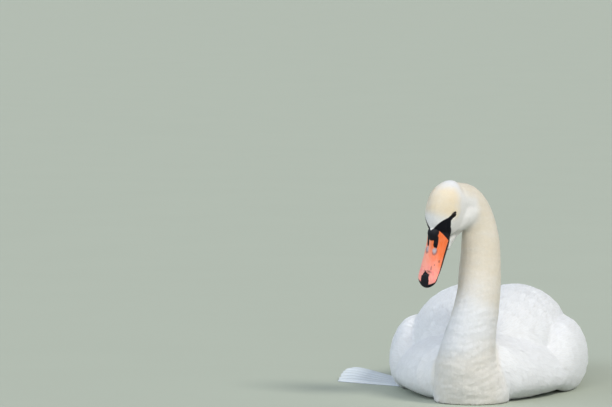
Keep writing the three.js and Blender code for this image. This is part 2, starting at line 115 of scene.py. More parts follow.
def addPiece(name, data):
    piece = bpy.data.objects.new(name, data)
    bpy.context.scene.collection.objects.link(piece)
    return piece


def meshFrom(name, points, faces, smoothShade=True):
    mesh = bpy.data.meshes.new(name)
    mesh.from_pydata([tuple(p) for p in np.asarray(points, float).tolist()], [], faces)
    mesh.update()
    if smoothShade:
        mesh.shade_smooth()
    return addPiece(name, mesh)


def keepValues(mesh, name, values):  # a number or a vector kept at each point, for the material
    values = np.asarray(values, np.float32)
    kind, field = ("FLOAT", "value") if values.ndim == 1 else ("FLOAT_VECTOR", "vector")
    mesh.attributes.new(name, kind, "POINT").data.foreach_set(field, values.ravel())


def put(piece, finish, slot, *nodes):  # finish, body, record's slot (not used) and the CAD nodes it stands for
    piece.data.materials.clear()
    piece.data.materials.append(finish)
    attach(piece, "root")
    if nodes:
        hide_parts(*nodes)
    piece.data.calc_loop_triangles()
    print(piece.name, len(piece.data.loop_triangles), "triangles")
    return piece


# materials: values are written as expressions, and any other node goes through node()
def maths(operation, turned=False):
    return lambda self, other=None: self.join(operation, other, turned)


class Wire:
    def __init__(self, tree, socket):
        self.tree = tree
        self.socket = socket

    def join(self, operation, other, turned):
        made = self.tree.nodes.new("ShaderNodeMath")
        made.operation = operation
        pair = (other, self) if turned else (self, other)
        for socket, value in zip(made.inputs, pair):
            if isinstance(value, Wire):
                self.tree.links.new(value.socket, socket)
            elif value is not None:
                socket.default_value = value
        return Wire(self.tree, made.outputs[0])

    __add__, __radd__ = maths("ADD"), maths("ADD", True)
    __sub__, __rsub__ = maths("SUBTRACT"), maths("SUBTRACT", True)
    __mul__, __rmul__ = maths("MULTIPLY"), maths("MULTIPLY", True)
    __truediv__, __rtruediv__ = maths("DIVIDE"), maths("DIVIDE", True)
    __pow__ = maths("POWER")
    __abs__ = maths("ABSOLUTE")
    least = maths("MINIMUM")
    most = maths("MAXIMUM")
    root = maths("SQRT")


class Finish:
    def __init__(self, name, colour=None):
        self.material = bpy.data.materials.new(name)
        self.material.use_nodes = True
        self.tree = self.material.node_tree
        self.tree.nodes.clear()
        self.colour = colour

    def node(self, kind, settings=None, sockets=None, output=0):
        made = self.tree.nodes.new("ShaderNode" + kind)
        for key, value in (settings or {}).items():
            setattr(made, key, value)
        for key, value in (sockets or {}).items():
            if isinstance(value, Wire):
                self.tree.links.new(value.socket, made.inputs[key])
            elif made.inputs[key].type == "RGBA":
                made.inputs[key].default_value = (*value[:3], 1.0)
            else:
                made.inputs[key].default_value = value
        return Wire(self.tree, made.outputs[output]) if made.outputs else None

    def mix(self, share, first, second, kind="MIX"):
        settings = {"data_type": "RGBA", "blend_type": kind, "clamp_factor": True}
        colours = [c if isinstance(c, Wire) else (*c, 1.0) for c in (first, second)]
        return self.node("Mix", settings, {0: share, 6: colours[0], 7: colours[1]}, 2)

    def paint(self, share, colour, kind="MIX"):  # lays a colour over what is there
        self.colour = self.mix(share, self.colour, colour, kind)

    def ease(self, value, low, high):
        settings = {"interpolation_type": "SMOOTHSTEP"}
        return self.node("MapRange", settings, {"Value": value, "From Min": low, "From Max": high})

    def place(self):
        return self.node("TexCoord", output=3)

    def stored(self, name, output="Vector"):
        return self.node("Attribute", {"attribute_name": name}, output=output)

    def parts(self, vector):
        return [self.node("SeparateXYZ", sockets={0: vector}, output=i) for i in range(3)]

    def grain(self, vector, scale, detail=3.0, roughness=0.55):
        sizes = {"Vector": vector, "Scale": scale, "Detail": detail, "Roughness": roughness}
        return self.node("TexNoise", sockets=sizes)

    def stretch(self, vector, scale):
        return self.node("Mapping", sockets={"Vector": vector, "Scale": scale})

    def bump(self, height, distance, strength=1.0):
        return self.node("Bump", sockets={"Height": height, "Distance": distance, "Strength": strength})

    def surface(self, **values):
        sockets = {key.replace("_", " "): value for key, value in values.items()}
        sockets["Base Color"] = self.colour
        shader = self.node("BsdfPrincipled", sockets=sockets)
        self.node("OutputMaterial", sockets={"Surface": shader})
        return self.material


# The black bare skin from the eye to the bill and round the eye, in the head's frame, in millimetres.
faceMarks = {
    "foreheadPoint": 44.6,  # where the white of the forehead ends, on the midline
    "foreheadSlope": 1.08,
    "foreheadLean": 0.09,
    "foreheadScale": 1.47,  # turns the slanted measure into a distance
    "cheekLines": ((24.0, 0.60), (42.0, 1.23)),  # level and slope of the lower edge, by eye and gape
    "bandStart": (3.6, 29.6, 10.6),  # the black strip runs from behind the eye
    "bandEnd": (16.0, 26.0, 15.3),  # to the corner of the lore
    "bandHalf": 3.9,
    "bandTaper": 0.4,
    "eyePlace": (7.9, 29.3, 11.9),
    "rimRadius": 4.3,
    "reach": 54.0,  # how far from the middle of the skull the black may lie
}
bandStart = np.array(faceMarks["bandStart"])
bandEnd = np.array(faceMarks["bandEnd"])


def least(first, second):
    return first.least(second) if isinstance(first, Wire) else np.minimum(first, second)


def most(first, second):
    return first.most(second) if isinstance(first, Wire) else np.maximum(first, second)


def rootOf(value):
    return value.root() if isinstance(value, Wire) else np.sqrt(value)


def lengthOf(parts):
    return rootOf(parts[0] * parts[0] + parts[1] * parts[1] + parts[2] * parts[2])


def bareness(f, side, u):
    # over 0 inside the black bare skin, as a rough distance in millimetres; for arrays and for wires
    marks = faceMarks
    l = abs(side)
    point = marks["foreheadPoint"] - side * marks["foreheadLean"]
    forehead = (f + l * marks["foreheadSlope"] - point) / marks["foreheadScale"]
    cheek = [(u + f * slope - level) / sqrt(1 + slope ** 2) for level, slope in marks["cheekLines"]]
    near = marks["reach"] - lengthOf((f, l, u))
    band = bandEnd - bandStart
    away = [p - float(q) for p, q in zip((f, l, u), bandStart)]
    parts = [away[i] * float(band[i] / (band @ band)) for i in range(3)]
    t = least(most(parts[0] + parts[1] + parts[2], 0.0), 1.0)
    half = (1.0 - (1.0 - t) * (1.0 - t) * marks["bandTaper"]) * marks["bandHalf"]
    strip = half - lengthOf([away[i] - t * float(band[i]) for i in range(3)])
    rim = marks["rimRadius"] - lengthOf([p - q for p, q in zip((f, l, u), marks["eyePlace"])])
    return most(least(least(forehead, most(*cheek)), near), most(strip, rim))


plumage = {
    "white": (0.84, 0.85, 0.87),
    "cream": (0.80, 0.725, 0.59),
    "crown": (0.87, 0.745, 0.54),
    "face": (0.87, 0.86, 0.84),
    "bare": (0.0045, 0.0045, 0.0085),
}

neckMiddle = np.array([(0.003, -0.221, 0.016), (-0.003, -0.236, 0.064), (0.004, -0.237, 0.116),
              (0.015, -0.222, 0.178), (0.016, -0.206, 0.230), (0.0155, -0.196, 0.280),
              (0.0055, -0.198, 0.328), (-0.0145, -0.218, 0.354)])


def creamShare(points):  # the neck is stained cream, less so towards its foot
    gap = np.full(len(points), 9.0)
    for a, b in zip(neckMiddle[:-1], neckMiddle[1:]):
        t = np.clip((points - a) @ (b - a) / ((b - a) @ (b - a)), 0, 1)[:, None]
        gap = np.minimum(gap, norms(points - a - t * (b - a)))
    z = points[:, 2]
    girth = 0.036 + 0.024 * smooth(z, 0.14, 0.03)
    return smooth(gap, girth + 0.009, girth) * (0.46 + 0.54 * smooth(z, 0.06, 0.20))


def plumageColour(finish, place, headPoint, stain):
    f, l, u = finish.parts(headPoint)
    cloud = finish.grain(place, 24.0)
    streak = finish.grain(finish.stretch(place, (30.0, 30.0, 110.0)), 1.0)
    colour = finish.mix(stain * (0.66 + streak * 0.6), plumage["white"], plumage["cream"])
    # the head is white round the face, and stained cream on the crown and cheeks
    headPart = finish.ease(f + (cloud - 0.5) * 24.0, -46.0, -26.0)
    onHead = headPart * finish.ease((f * f + l * l + u * u).root() + (cloud - 0.5) * 16.0, 68.0, 50.0)
    high = finish.ease(u + (cloud - 0.5) * 30.0, -3.0, 22.0)
    behind = finish.ease(f + (cloud - 0.5) * 16.0, 25.0, 6.0)
    headColour = finish.mix(high * behind * (0.25 + cloud * 1.15), plumage["face"], plumage["crown"])
    return finish.mix(onHead, colour, headColour)


def featherFinish(name, roughness=0.72, barbs=0.5, paintedShade=(1.0, 1.0, 1.0)):
    finish = Finish(name)
    place = finish.place()
    headPoint = finish.stored("headPlace")
    across, along, tint = finish.parts(finish.stored("vane"))
    finish.colour = plumageColour(finish, place, headPoint, finish.stored("stain", "Fac"))
    # barbs run slantwise from the shaft; each feather is a little lighter or darker than the next, and a
    # little darker towards its root
    slanted = {0: along * 70.0 - abs(across) * 16.0, 1: across * 2.5, 2: tint * 90.0}
    slant = finish.node("CombineXYZ", sockets=slanted)
    barb = finish.grain(slant, 1.0, 2.0)
    level = 0.965 + tint * 0.045 + (barb - 0.5) * (0.06 * barbs) - (1 - along) * 0.03
    # painted shade: each vane is darkened along its edges, where it meets the next
    level = level - finish.ease(abs(across), 0.72, 1.0) * (0.05 * barbs)
    # painted shade: the finish's shade colour darkens all its feathers, for feathers that lie in shade
    toneAndPaintedShade = finish.node("CombineColor", sockets={i: level * paintedShade[i] for i in range(3)})
    finish.paint(1.0, toneAndPaintedShade, "MULTIPLY")
    shaft = (1 - finish.ease(abs(across), 0.03, 0.09)) * (0.22 * barbs)
    finish.paint(shaft, (0.62, 0.57, 0.48))
    bare = finish.ease(bareness(*finish.parts(headPoint)), -0.5, 0.3)
    finish.paint(bare, plumage["bare"])
    return finish.surface(
        Roughness=roughness,
        Specular_IOR_Level=0.25,
        Sheen_Weight=0.10,
        Sheen_Roughness=0.5,
        Subsurface_Weight=0.35,
        Subsurface_Radius=(1.0, 0.9, 0.75),
        Subsurface_Scale=0.006,
        Normal=finish.bump(barb, 0.0003, 0.3 * barbs),
    )


# the eyes, in the head's frame, in millimetres, and the sockets sunk in the skin for them
eyeShape = {
    "centre": (7.5, 24.5, 9.7), "out": (0.06, 0.93, 0.35), "radius": 6.0, "iris": 3.9, "pupil": 2.0,
    "rings": 41, "segments": 56, "bulge": (0.25, 3.2),  # the cornea's height and half width
    "socketLong": 1.35, "socketEdge": (5.0, 3.2), "socketFloor": 2.6, "socketReach": 12,
}

# the skin is one smooth body inside the flesh nodes, a coat's depth in
skinShape = {
    "voxel": 0.003,
    "swell": 0.0006,  # closes the thin cuts between the CAD's nodes
    "bodyRounds": 30,
    "headDepth": 0.0013,
    "faceDepth": 0.0006,
    "neckDepth": 0.0026,
    "bodyDepth": 0.0042,
    "loreHollow": 0.0016,  # the bare skin between eye and bill is a little sunk
    "chinLift": 0.0031,  # the chin's feathers are pressed close
    "chinTuck": 0.00017,
    "skull": (62, 46, 50),  # half sizes of the head's oval, in millimetres
    "fineReach": (58, 42, 46),
    "billRoot": (40, 24, 27),  # the lie starts ahead of the first and within the others
    "fold": (0.27, 0.30),  # the neck's fold under the chin is smoothed less
    "floorGap": 0.0012,
    "rearLie": 0.85,  # how far the lie on wings and rear turns straight backwards
    # regions, as eased steps; the groove runs between the wings and the front is the neck's upper one
    "rear": ((1, -0.20, 0.02),),
    "back": ((1, -0.17, -0.11), (2, 0.09, 0.13)),
    "neck": ((1, -0.165, -0.20), (2, 0.11, 0.15)),
    "chin": ((0, 27, 41), (2, -13, -24), (2, -52, -38)),
    "chinReach": (105, 95),
    "groove": ((0, 0.034, 0.018), (0, -0.034, -0.018), (1, -0.20, -0.16), (1, 0.02, -0.04), (2, 0.06, 0.08)),
    "front": ((2, 0.258, 0.272), (2, 0.312, 0.300), (0, 0.004, 0.014), (1, -0.195, -0.205)),
    "fillRounds": {"groove": 40, "front": 200},
}
fleshNodes = ["trunk", "head", "neck_lower", "neck_middle", "neck_upper"]
fleshNodes += [f"wing_{side}_{part}" for side in ("left", "right") for part in ("scapulars", "coverts")]
fillNodes = ["eye_left", "eye_right"]  # these only close the sockets


def nodeArrays(name):
    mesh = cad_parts[name].data
    mesh.calc_loop_triangles()
    points = np.empty(len(mesh.vertices) * 3)
    corners = np.empty(len(mesh.loop_triangles) * 3, np.int32)
    mesh.vertices.foreach_get("co", points)
    mesh.loop_triangles.foreach_get("vertices", corners)
    points, merged = np.unique(points.reshape(-1, 3).round(6), axis=0, return_inverse=True)
    return points, merged.ravel()[corners].reshape(-1, 3)


def vertexNormals(points, triangles):
    cross = np.cross(points[triangles[:, 1]] - points[triangles[:, 0]],
                     points[triangles[:, 2]] - points[triangles[:, 0]])
    summed = np.zeros_like(points)
    for corner in range(3):
        for axis in range(3):
            weights = cross[:, axis]
            summed[:, axis] += np.bincount(triangles[:, corner], weights, len(points))
    return unit(summed)


grooveFill = {"half": 0.012, "low": 0.115, "tops": (
    (-0.118, 0.122), (-0.105, 0.133), (-0.092, 0.144), (-0.078, 0.153), (-0.060, 0.159), (-0.035, 0.164),
    (0.0, 0.167), (0.04, 0.167), (0.08, 0.164), (0.10, 0.150))}


def groovePlug():  # the slit between the wings is closed by their feathers
    half, low = grooveFill["half"], grooveFill["low"]
    points, triangles = [], [(0, 1, 2), (0, 2, 3)]
    for i, (y, top) in enumerate(grooveFill["tops"]):
        points += [(-half, y, top), (half, y, top), (half, y, low), (-half, y, low)]
        if i:
            for k in range(4):
                a, b = 4 * i - 4 + k, 4 * i - 4 + (k + 1) % 4
                triangles += [(a, b + 4, b), (a, a + 4, b + 4)]
    last = len(points) - 4
    triangles += [(last, last + 2, last + 1), (last, last + 3, last + 2)]
    return np.array(points), np.array(triangles)


def joinedNodes(names, swell):  # the CAD's nodes as one list of triangles, and the node of each
    points, triangles, owners = [], [], []
    start = 0
    for i, name in enumerate(names):
        own, corners = nodeArrays(name)
        points.append(own + vertexNormals(own, corners) * swell)
        triangles.append(corners + start)
        owners += [i] * len(corners)
        start += len(own)
    return np.concatenate(points), np.concatenate(triangles), owners


def joinedFlesh():
    points, triangles, owners = joinedNodes(fleshNodes + fillNodes, skinShape["swell"])
    plug, corners = groovePlug()
    owners += [fleshNodes.index("wing_left_scapulars")] * len(corners)
    triangles = np.concatenate([triangles, corners + len(points)])
    return np.concatenate([points, plug]), triangles, np.array(owners)


def chinShare(local):  # 1 on the feathered chin under the bill
    return steps(local, skinShape["chin"]) * smooth(norms(local), *skinShape["chinReach"])


def remeshed(points, triangles, voxel, easing=0):
    rough = meshFrom("rough", points, triangles.tolist())
    made = rough.modifiers.new("remesh", "REMESH")
    made.mode = "VOXEL"
    made.voxel_size = voxel
    if easing:
        rough.modifiers.new("ease", "SMOOTH").iterations = easing
    graph = bpy.context.evaluated_depsgraph_get()
    mesh = bpy.data.meshes.new_from_object(rough.evaluated_get(graph))
    bpy.data.objects.remove(rough)
    return mesh


def outerBody(edit):  # the largest connected part, without the bubbles that a cut may leave
    edit.verts.ensure_lookup_table()
    edit.verts.index_update()
    seen = np.zeros(len(edit.verts), bool)
    best = []
    for vert in edit.verts:
        if seen[vert.index]:
            continue
        group = [vert]
        seen[vert.index] = True
        for one in group:
            for edge in one.link_edges:
                other = edge.other_vert(one)
                if not seen[other.index]:
                    seen[other.index] = True
                    group.append(other)
        best = group if len(group) > len(best) else best
    return set(v.index for v in best)


def fleshSurface(points, triangles):
    mesh = remeshed(points, triangles, skinShape["voxel"])
    edit = bmesh.new()
    edit.from_mesh(mesh)
    keep = outerBody(edit)
    bmesh.ops.delete(edit, geom=[v for v in edit.verts if v.index not in keep], context="VERTS")
    # the head gets a mesh twice as fine
    local = toHead([v.co for v in edit.verts])
    fine = (norms(local / skinShape["fineReach"]) < 1) | (chinShare(local) > 0)
    edges = [e for e in edit.edges if fine[e.verts[0].index] and fine[e.verts[1].index]]
    edit.verts.index_update()
    bmesh.ops.subdivide_edges(edit, edges=edges, cuts=1, use_grid_fill=True)
    bmesh.ops.triangulate(edit, faces=[f for f in edit.faces if len(f.verts) > 4])
    edit.verts.index_update()
    found = np.array([v.co for v in edit.verts])
    corners = [[v.index for v in f.verts] for f in edit.faces]
    edit.free()
    bpy.data.meshes.remove(mesh)
    return found, corners


def splitFaces(corners):  # triangles for the sums, from faces of three or four corners
    triangles = [c[:3] for c in corners]
    triangles += [[c[0], c[2], c[3]] for c in corners if len(c) == 4]
    return np.array(triangles)


def edgePairs(corners):
    pairs = np.array([(c[i - 1], c[i]) for c in corners for i in range(len(c))])
    pairs.sort(axis=1)
    return np.unique(pairs, axis=0)


def averaged(values, pairs):  # each point's mean of its neighbours
    count = len(values)
    total = np.zeros(values.shape)
    degree = np.bincount(pairs.ravel(), minlength=count)
    for a, b in ((0, 1), (1, 0)):
        for axis in range(values.shape[1]):
            total[:, axis] += np.bincount(pairs[:, a], values[pairs[:, b], axis], count)
    return total / np.maximum(degree, 1)[:, None]


def easedSurface(points, pairs, rounds, share):  # smooths without shrinking
    for i in range(rounds):
        points = points + (-0.645 if i % 2 else 0.62) * share * (averaged(points, pairs) - points)
    return points


def filledHollows(points, triangles, pairs, weight, rounds):  # raises what lies lower than its surroundings
    near = weight > 0
    triangles = triangles[near[triangles].any(1)]
    pairs = pairs[near[pairs].any(1)]
    for _ in range(rounds):
        normals = vertexNormals(points, triangles)
        rise = ((averaged(points, pairs) - points) * normals).sum(1)
        points = points + normals * (np.maximum(rise, 0) * weight)[:, None]
    return points


def softNormals(points, triangles, pairs, rounds):
    normals = vertexNormals(points, triangles)
    for _ in range(rounds):
        normals = unit(0.5 * normals + 0.5 * averaged(normals, pairs))
    return normals


def wayFromBill(points, pairs):  # shortest way over the skin from the bill's root
    lengths = norms(points[pairs[:, 0]] - points[pairs[:, 1]])
    links = [[] for _ in points]
    for (a, b), length in zip(pairs.tolist(), lengths.tolist()):
        links[a].append((b, length))
        links[b].append((a, length))
    local = toHead(points)
    way = np.full(len(points), 9.0)
    queue = []
    ahead, wide, high = skinShape["billRoot"]
    atBill = (local[:, 0] > ahead) & (np.abs(local[:, 1]) < wide) & (np.abs(local[:, 2]) < high)
    for i in np.flatnonzero(atBill):
        way[i] = 0.0
        queue.append((0.0, int(i)))
    while queue:
        here, i = heapq.heappop(queue)
        if here > way[i]:
            continue
        for j, length in links[i]:
            if here + length < way[j]:
                way[j] = here + length
                heapq.heappush(queue, (way[j], j))
    return way


def lieOfCoat(points, normals, pairs):  # the direction in which the feathers point
    way = wayFromBill(points, pairs)[:, None]
    for _ in range(6):
        way = 0.5 * way + 0.5 * averaged(way, pairs)
    step = points[pairs[:, 1]] - points[pairs[:, 0]]
    rise = (way[pairs[:, 1], 0] - way[pairs[:, 0], 0]) / np.maximum((step * step).sum(1), 1e-12)
    lie = np.zeros_like(points)
    for axis in range(3):
        part = rise * step[:, axis]
        lie[:, axis] = sum(np.bincount(pairs[:, end], part, len(points)) for end in (0, 1))
    lie = flatten(lie, normals)
    # on the wings and the rear of the body everything lies towards the tail
    rearwards = flatten(np.array([0.0, 1.0, 0.0]) + 0 * points, normals)
    body = np.maximum(steps(points, skinShape["rear"]), steps(points, skinShape["back"]))
    body = body * skinShape["rearLie"]
    lie = lie * (1 - body)[:, None] + rearwards * body[:, None]
    for _ in range(12):
        lie = flatten(0.4 * lie + 0.6 * averaged(lie, pairs), normals)
    return lie, way[:, 0]


def eyeAxes(sideSign):
    out = unit(np.array(eyeShape["out"]))
    band = unit(bandEnd - bandStart)
    along = unit(band - out * (band @ out))
    across = np.cross(out, along)
    flip = np.array((1, sideSign, 1))
    return np.array(eyeShape["centre"]) * flip, out * flip, along * flip, across * flip


def sunkSockets(points):  # the skin drops under the lids, so that the eye sits in a hollow
    local = toHead(points)
    for sideSign in (-1, 1):
        centre, out, along, across = eyeAxes(sideSign)
        away = local - centre
        height = away @ out
        ring = np.sqrt((away @ along / eyeShape["socketLong"]) ** 2 + (away @ across) ** 2)
        sink = smooth(ring, *eyeShape["socketEdge"]) * (height > 0) * (height < eyeShape["socketReach"])
        local = local - out * (sink * np.maximum(height - eyeShape["socketFloor"], 0))[:, None]
    return np.where((norms(local) < 60)[:, None], fromHead(local), points)


def groundOf(points, triangles, normals, lie, way, depth):  # a surface on which feathers can be laid
    return {
        "points": points, "triangles": triangles, "normals": normals, "lie": lie, "way": way, "depth": depth,
        "tree": BVHTree.FromPolygons(points.tolist(), triangles.tolist()),
    }


def coatDepth(points, onHead, onNeck, bare):
    low = skinShape["neckDepth"] + 0.0015 * smooth(points[:, 2], 0.2, 0.08)
    depth = skinShape["bodyDepth"] * (1 - onNeck) + low * onNeck
    face = smooth(bare, -14, -1) * onHead
    headDepth = skinShape["headDepth"] * (1 - face) + skinShape["faceDepth"] * face
    depth = depth * (1 - onHead) + headDepth * onHead
    return depth * (1 - smooth(bare, -0.6, 0.4) * onHead)


def makeSkin():
    flesh, fleshTriangles, owners = joinedFlesh()
    points, corners = fleshSurface(flesh, fleshTriangles)
    triangles = splitFaces(corners)
    pairs = edgePairs(corners)
    local = toHead(points)
    chin = chinShare(local)
    onHead = np.maximum(smooth(norms(local / skinShape["skull"]), 1.12, 0.92), chin)
    onNeck = steps(points, skinShape["neck"])
    fold = smooth(points[:, 2], *skinShape["fold"])
    share = 1 - (0.75 - 0.4 * fold) * onNeck * (1 - onHead) - 0.72 * onHead
    share = np.clip(share, 0.15, 1)[:, None]
    points = easedSurface(points, pairs, skinShape["bodyRounds"], share)
    hollows = [(steps(points, skinShape[name]), rounds) for name, rounds in skinShape["fillRounds"].items()]
    for weight, rounds in hollows:
        points = filledHollows(points, triangles, pairs, weight, rounds)
    tight = (chin * (1 - 0.75 * smooth(local[:, 0], 54, 68)))[:, None]
    points = points + tight * skinShape["chinLift"] * headUp
    points = points - tight * skinShape["chinTuck"] * local[:, 1:2] * headSide
    normals = softNormals(points, triangles, pairs, 3)
    # which CAD node each point belongs to
    tree = BVHTree.FromPolygons(flesh.tolist(), fleshTriangles.tolist())
    region = np.array([owners[tree.find_nearest(p)[2]] for p in points.tolist()])
    bare = bareness(*local.T)
    depth = coatDepth(points, onHead, onNeck, bare)
    hollow = skinShape["loreHollow"] * smooth(bare, 1.0, 6.5) * smooth(local[:, 0], 12, 24) * onHead
    points = points - normals * (depth + hollow)[:, None]
    points[:, 2] = np.maximum(points[:, 2], skinShape["floorGap"])
    points = sunkSockets(easedSurface(points, pairs, 4, share))
    normals = softNormals(points, triangles, pairs, 2)
    lie, way = lieOfCoat(points, normals, pairs)
    print("skin", len(points), "points")
    body = groundOf(points, triangles, normals, lie, way, depth)
    body.update(corners=corners, region=region, bare=bare)
    return body


skin = makeSkin()


def skinFinish():
    finish = Finish("bareSkin")
    place = finish.place()
    headPoint = finish.stored("headPlace")
    bare = finish.ease(bareness(*finish.parts(headPoint)), -0.3, 0.4)
    under = plumageColour(finish, place, headPoint, finish.stored("stain", "Fac"))
    under = finish.mix(0.12, under, (0.55, 0.50, 0.45))
    finish.colour = finish.mix(bare, under, plumage["bare"])
    pores = finish.grain(place, 1400.0, 3.0)
    return finish.surface(
        Roughness=0.8 - bare * 0.30 + pores * 0.1,
        Specular_IOR_Level=0.12,
        Normal=finish.bump(pores, 0.0004, 0.5),
    )


def buildSkin():
    piece = meshFrom("skin", skin["points"], skin["corners"])
    keepValues(piece.data, "headPlace", toHead(skin["points"]))
    keepValues(piece.data, "stain", creamShare(skin["points"]))
    put(piece, skinFinish(), "plumage", *fleshNodes)


buildSkin()

# feathers are sown on the skin and laid over it
ground = {"body": skin}  # the surface on which feathers are laid
triesPerRoot = 5.0  # points thrown for each gap's square, before those too close are dropped


def onSkin(points):  # the nearest place on the ground to each point, and its triangle
    places = np.empty((len(points), 3))
    faces = np.empty(len(points), int)
    find = ground["body"]["tree"].find_nearest
    for i, p in enumerate(points.tolist()):
        place, _, face, _ = find(p)
        places[i] = place
        faces[i] = face
    return places, faces


def faceMean(name, faces):
    body = ground["body"]
    return body[name][body["triangles"][faces]].mean(1)


def faceUnit(name, faces):
    return unit(faceMean(name, faces))


def sow(chosen, spacing, seed):  # roots spread over the chosen triangles, about the spacing apart
    rng = np.random.default_rng(seed)
    triangles = ground["body"]["triangles"][chosen]
    corners = ground["body"]["points"][triangles]
    area = norms(np.cross(corners[:, 1] - corners[:, 0], corners[:, 2] - corners[:, 0])) / 2
    middle = corners.mean(1)
    gap = spacing(middle, chosen)
    wanted = area / gap ** 2 * triesPerRoot
    count = int(wanted.sum())
    picked = rng.choice(len(area), count, p=wanted / wanted.sum())
    a, b = rng.random(count), rng.random(count)
    over = a + b > 1
    a[over], b[over] = 1 - a[over], 1 - b[over]
    points = (corners[picked, 0] + a[:, None] * (corners[picked, 1] - corners[picked, 0])
              + b[:, None] * (corners[picked, 2] - corners[picked, 0]))
    reach = gap[picked]
    tree = kdtree.KDTree(count)
    for i, p in enumerate(points.tolist()):
        tree.insert(p, i)
    tree.balance()
    free = np.ones(count, bool)
    kept = []
    for i in range(count):
        if not free[i]:
            continue
        kept.append(i)
        for _, j, _ in tree.find_range(points[i], reach[i]):
            free[j] = False
    return points[kept], chosen[picked[kept]]


vaneRows = {
    "long": ((0.0, 0.25), (0.10, 0.58), (0.24, 0.82), (0.42, 0.97), (0.62, 1.0), (0.80, 0.88), (0.92, 0.60),
             (0.98, 0.28)),
    "broad": ((0.0, 0.30), (0.13, 0.62), (0.36, 0.92), (0.64, 1.0), (0.86, 0.78), (0.965, 0.38)),
    "small": ((0.0, 0.35), (0.18, 0.76), (0.50, 1.0), (0.80, 0.80), (0.95, 0.42)),
    "tiny": ((0.0, 0.5), (0.26, 0.86), (0.70, 0.90)),
}


def vaneFaces(rows):  # one feather: left, middle and right of each row, the middle's underside, and a tip
    faces = []
    under = []
    for r in range(rows - 1):
        l, m, s, b = range(4 * r, 4 * r + 4)
        faces += [(l, m, m + 4, l + 4), (m, s, s + 4, m + 4), (l, l + 4, b + 4, b), (b, b + 4, s + 4, s)]
        under += [0, 0, 1, 1]
    l, m, s, b = range(4 * rows - 4, 4 * rows)
    tip = 4 * rows
    faces += [(l, m, tip), (m, s, tip), (b, l, tip), (s, b, tip), (0, 3, 1), (1, 3, 2)]
    under += [0, 0, 1, 1, 1, 1]
    return faces, under


def coatWaves(shape, places, faces, normals, heading):
    # the height of the coat's soft waves at each place, and the normals leant to match
    if shape["waves"] is None:
        return np.zeros(len(places)), normals
    way = faceMean("way", faces)
    side = np.cross(heading, normals)
    step = 0.0012
    here = shape["waves"](places, way)
    ahead = shape["waves"](places + heading * step, way + step)
    beside = shape["waves"](places + side * step, way)
    lean = heading * ((ahead - here) / step)[:, None] + side * ((beside - here) / step)[:, None]
    return here, unit(normals - lean)


def vanePieces(name, roots, rootFaces, shape, around):
    # every feather rises steeply from its root and then lies level, so that the coat is tight
    rows = vaneRows[shape["rows"]]
    count = len(roots)
    shares = [r[0] for r in rows] + [1.0]
    length = shape["length"]
    place = roots.copy()
    faces = rootFaces
    lie = faceUnit("lie", faces)
    normal = faceUnit("normals", faces)
    heading = unit(lie + np.cross(lie, normal) * shape["yaw"][:, None])
    middles, normals, sides, high, leant = [], [], [], [], []
    last = 0.0
    for share in shares:
        if share > last:
            place, faces = onSkin(place + heading * (length * (share - last))[:, None])
            normal = faceUnit("normals", faces)
            follow = shape["follow"] * (share - last)
            heading = flatten(heading * (1 - follow) + faceUnit("lie", faces) * follow, normal)
        wave, lean = coatWaves(shape, place, faces, normal, heading)
        rising = 1 - (1 - min(1.0, share / 0.3)) ** 2
        level = faceMean("depth", faces) + shape["lift"] * share - shape["tuck"] * (1 - share) ** 1.5 + wave
        high.append(rising * level - (1 - rising) * shape["sink"])
        middles.append(place)
        normals.append(normal)
        leant.append(lean)
        sides.append(unit(np.cross(heading, normal)))
        last = share
    points = np.empty((count, 4 * len(rows) + 1, 3))
    shading = np.empty_like(points)
    for r, (share, wide) in enumerate(rows):
        half = (shape["half"] * wide)[:, None]
        low = (high[r] - shape["droop"] * wide)[:, None]
        for k, sign in ((0, -1), (2, 1)):
            edge = middles[r] + sides[r] * half * sign
            if shape["wrap"]:
                edge, edgeFaces = onSkin(edge)
                points[:, 4 * r + k] = edge + low * faceUnit("normals", edgeFaces)
            else:
                points[:, 4 * r + k] = edge + low * normals[r]
        points[:, 4 * r + 1] = middles[r] + normals[r] * high[r][:, None]
        points[:, 4 * r + 3] = middles[r] + normals[r] * (high[r] - shape["thick"])[:, None]
    points[:, -1] = middles[-1] + normals[-1] * high[-1][:, None]
    # shading normals: the vane's own, eased towards the body's so that the coat looks soft
    soft = shape["soft"]
    for r in range(len(rows)):
        ahead = points[:, 4 * r + 5] if r + 1 < len(rows) else points[:, -1]
        along = ahead - points[:, 4 * r + 1]
        for k, pair in ((0, (0, 1)), (1, (0, 2)), (2, (1, 2))):
            across = points[:, 4 * r + pair[1]] - points[:, 4 * r + pair[0]]
            own = unit(np.cross(across, along))
            own = own * np.sign((own * normals[r]).sum(1) + 1e-9)[:, None]
            shading[:, 4 * r + k] = unit(own * (1 - soft) + leant[r] * soft)
        shading[:, 4 * r + 3] = shading[:, 4 * r + 1]
    shading[:, -1] = unit(shading[:, -4] * (1 - soft) + leant[-1] * soft)
    return buildVanes(name, points, shading, rows, roots, shape["tint"], around)


vaneBuild = {"floorGap": 0.0004, "patch": 0.003}  # least height above the floor, and a bake patch's size


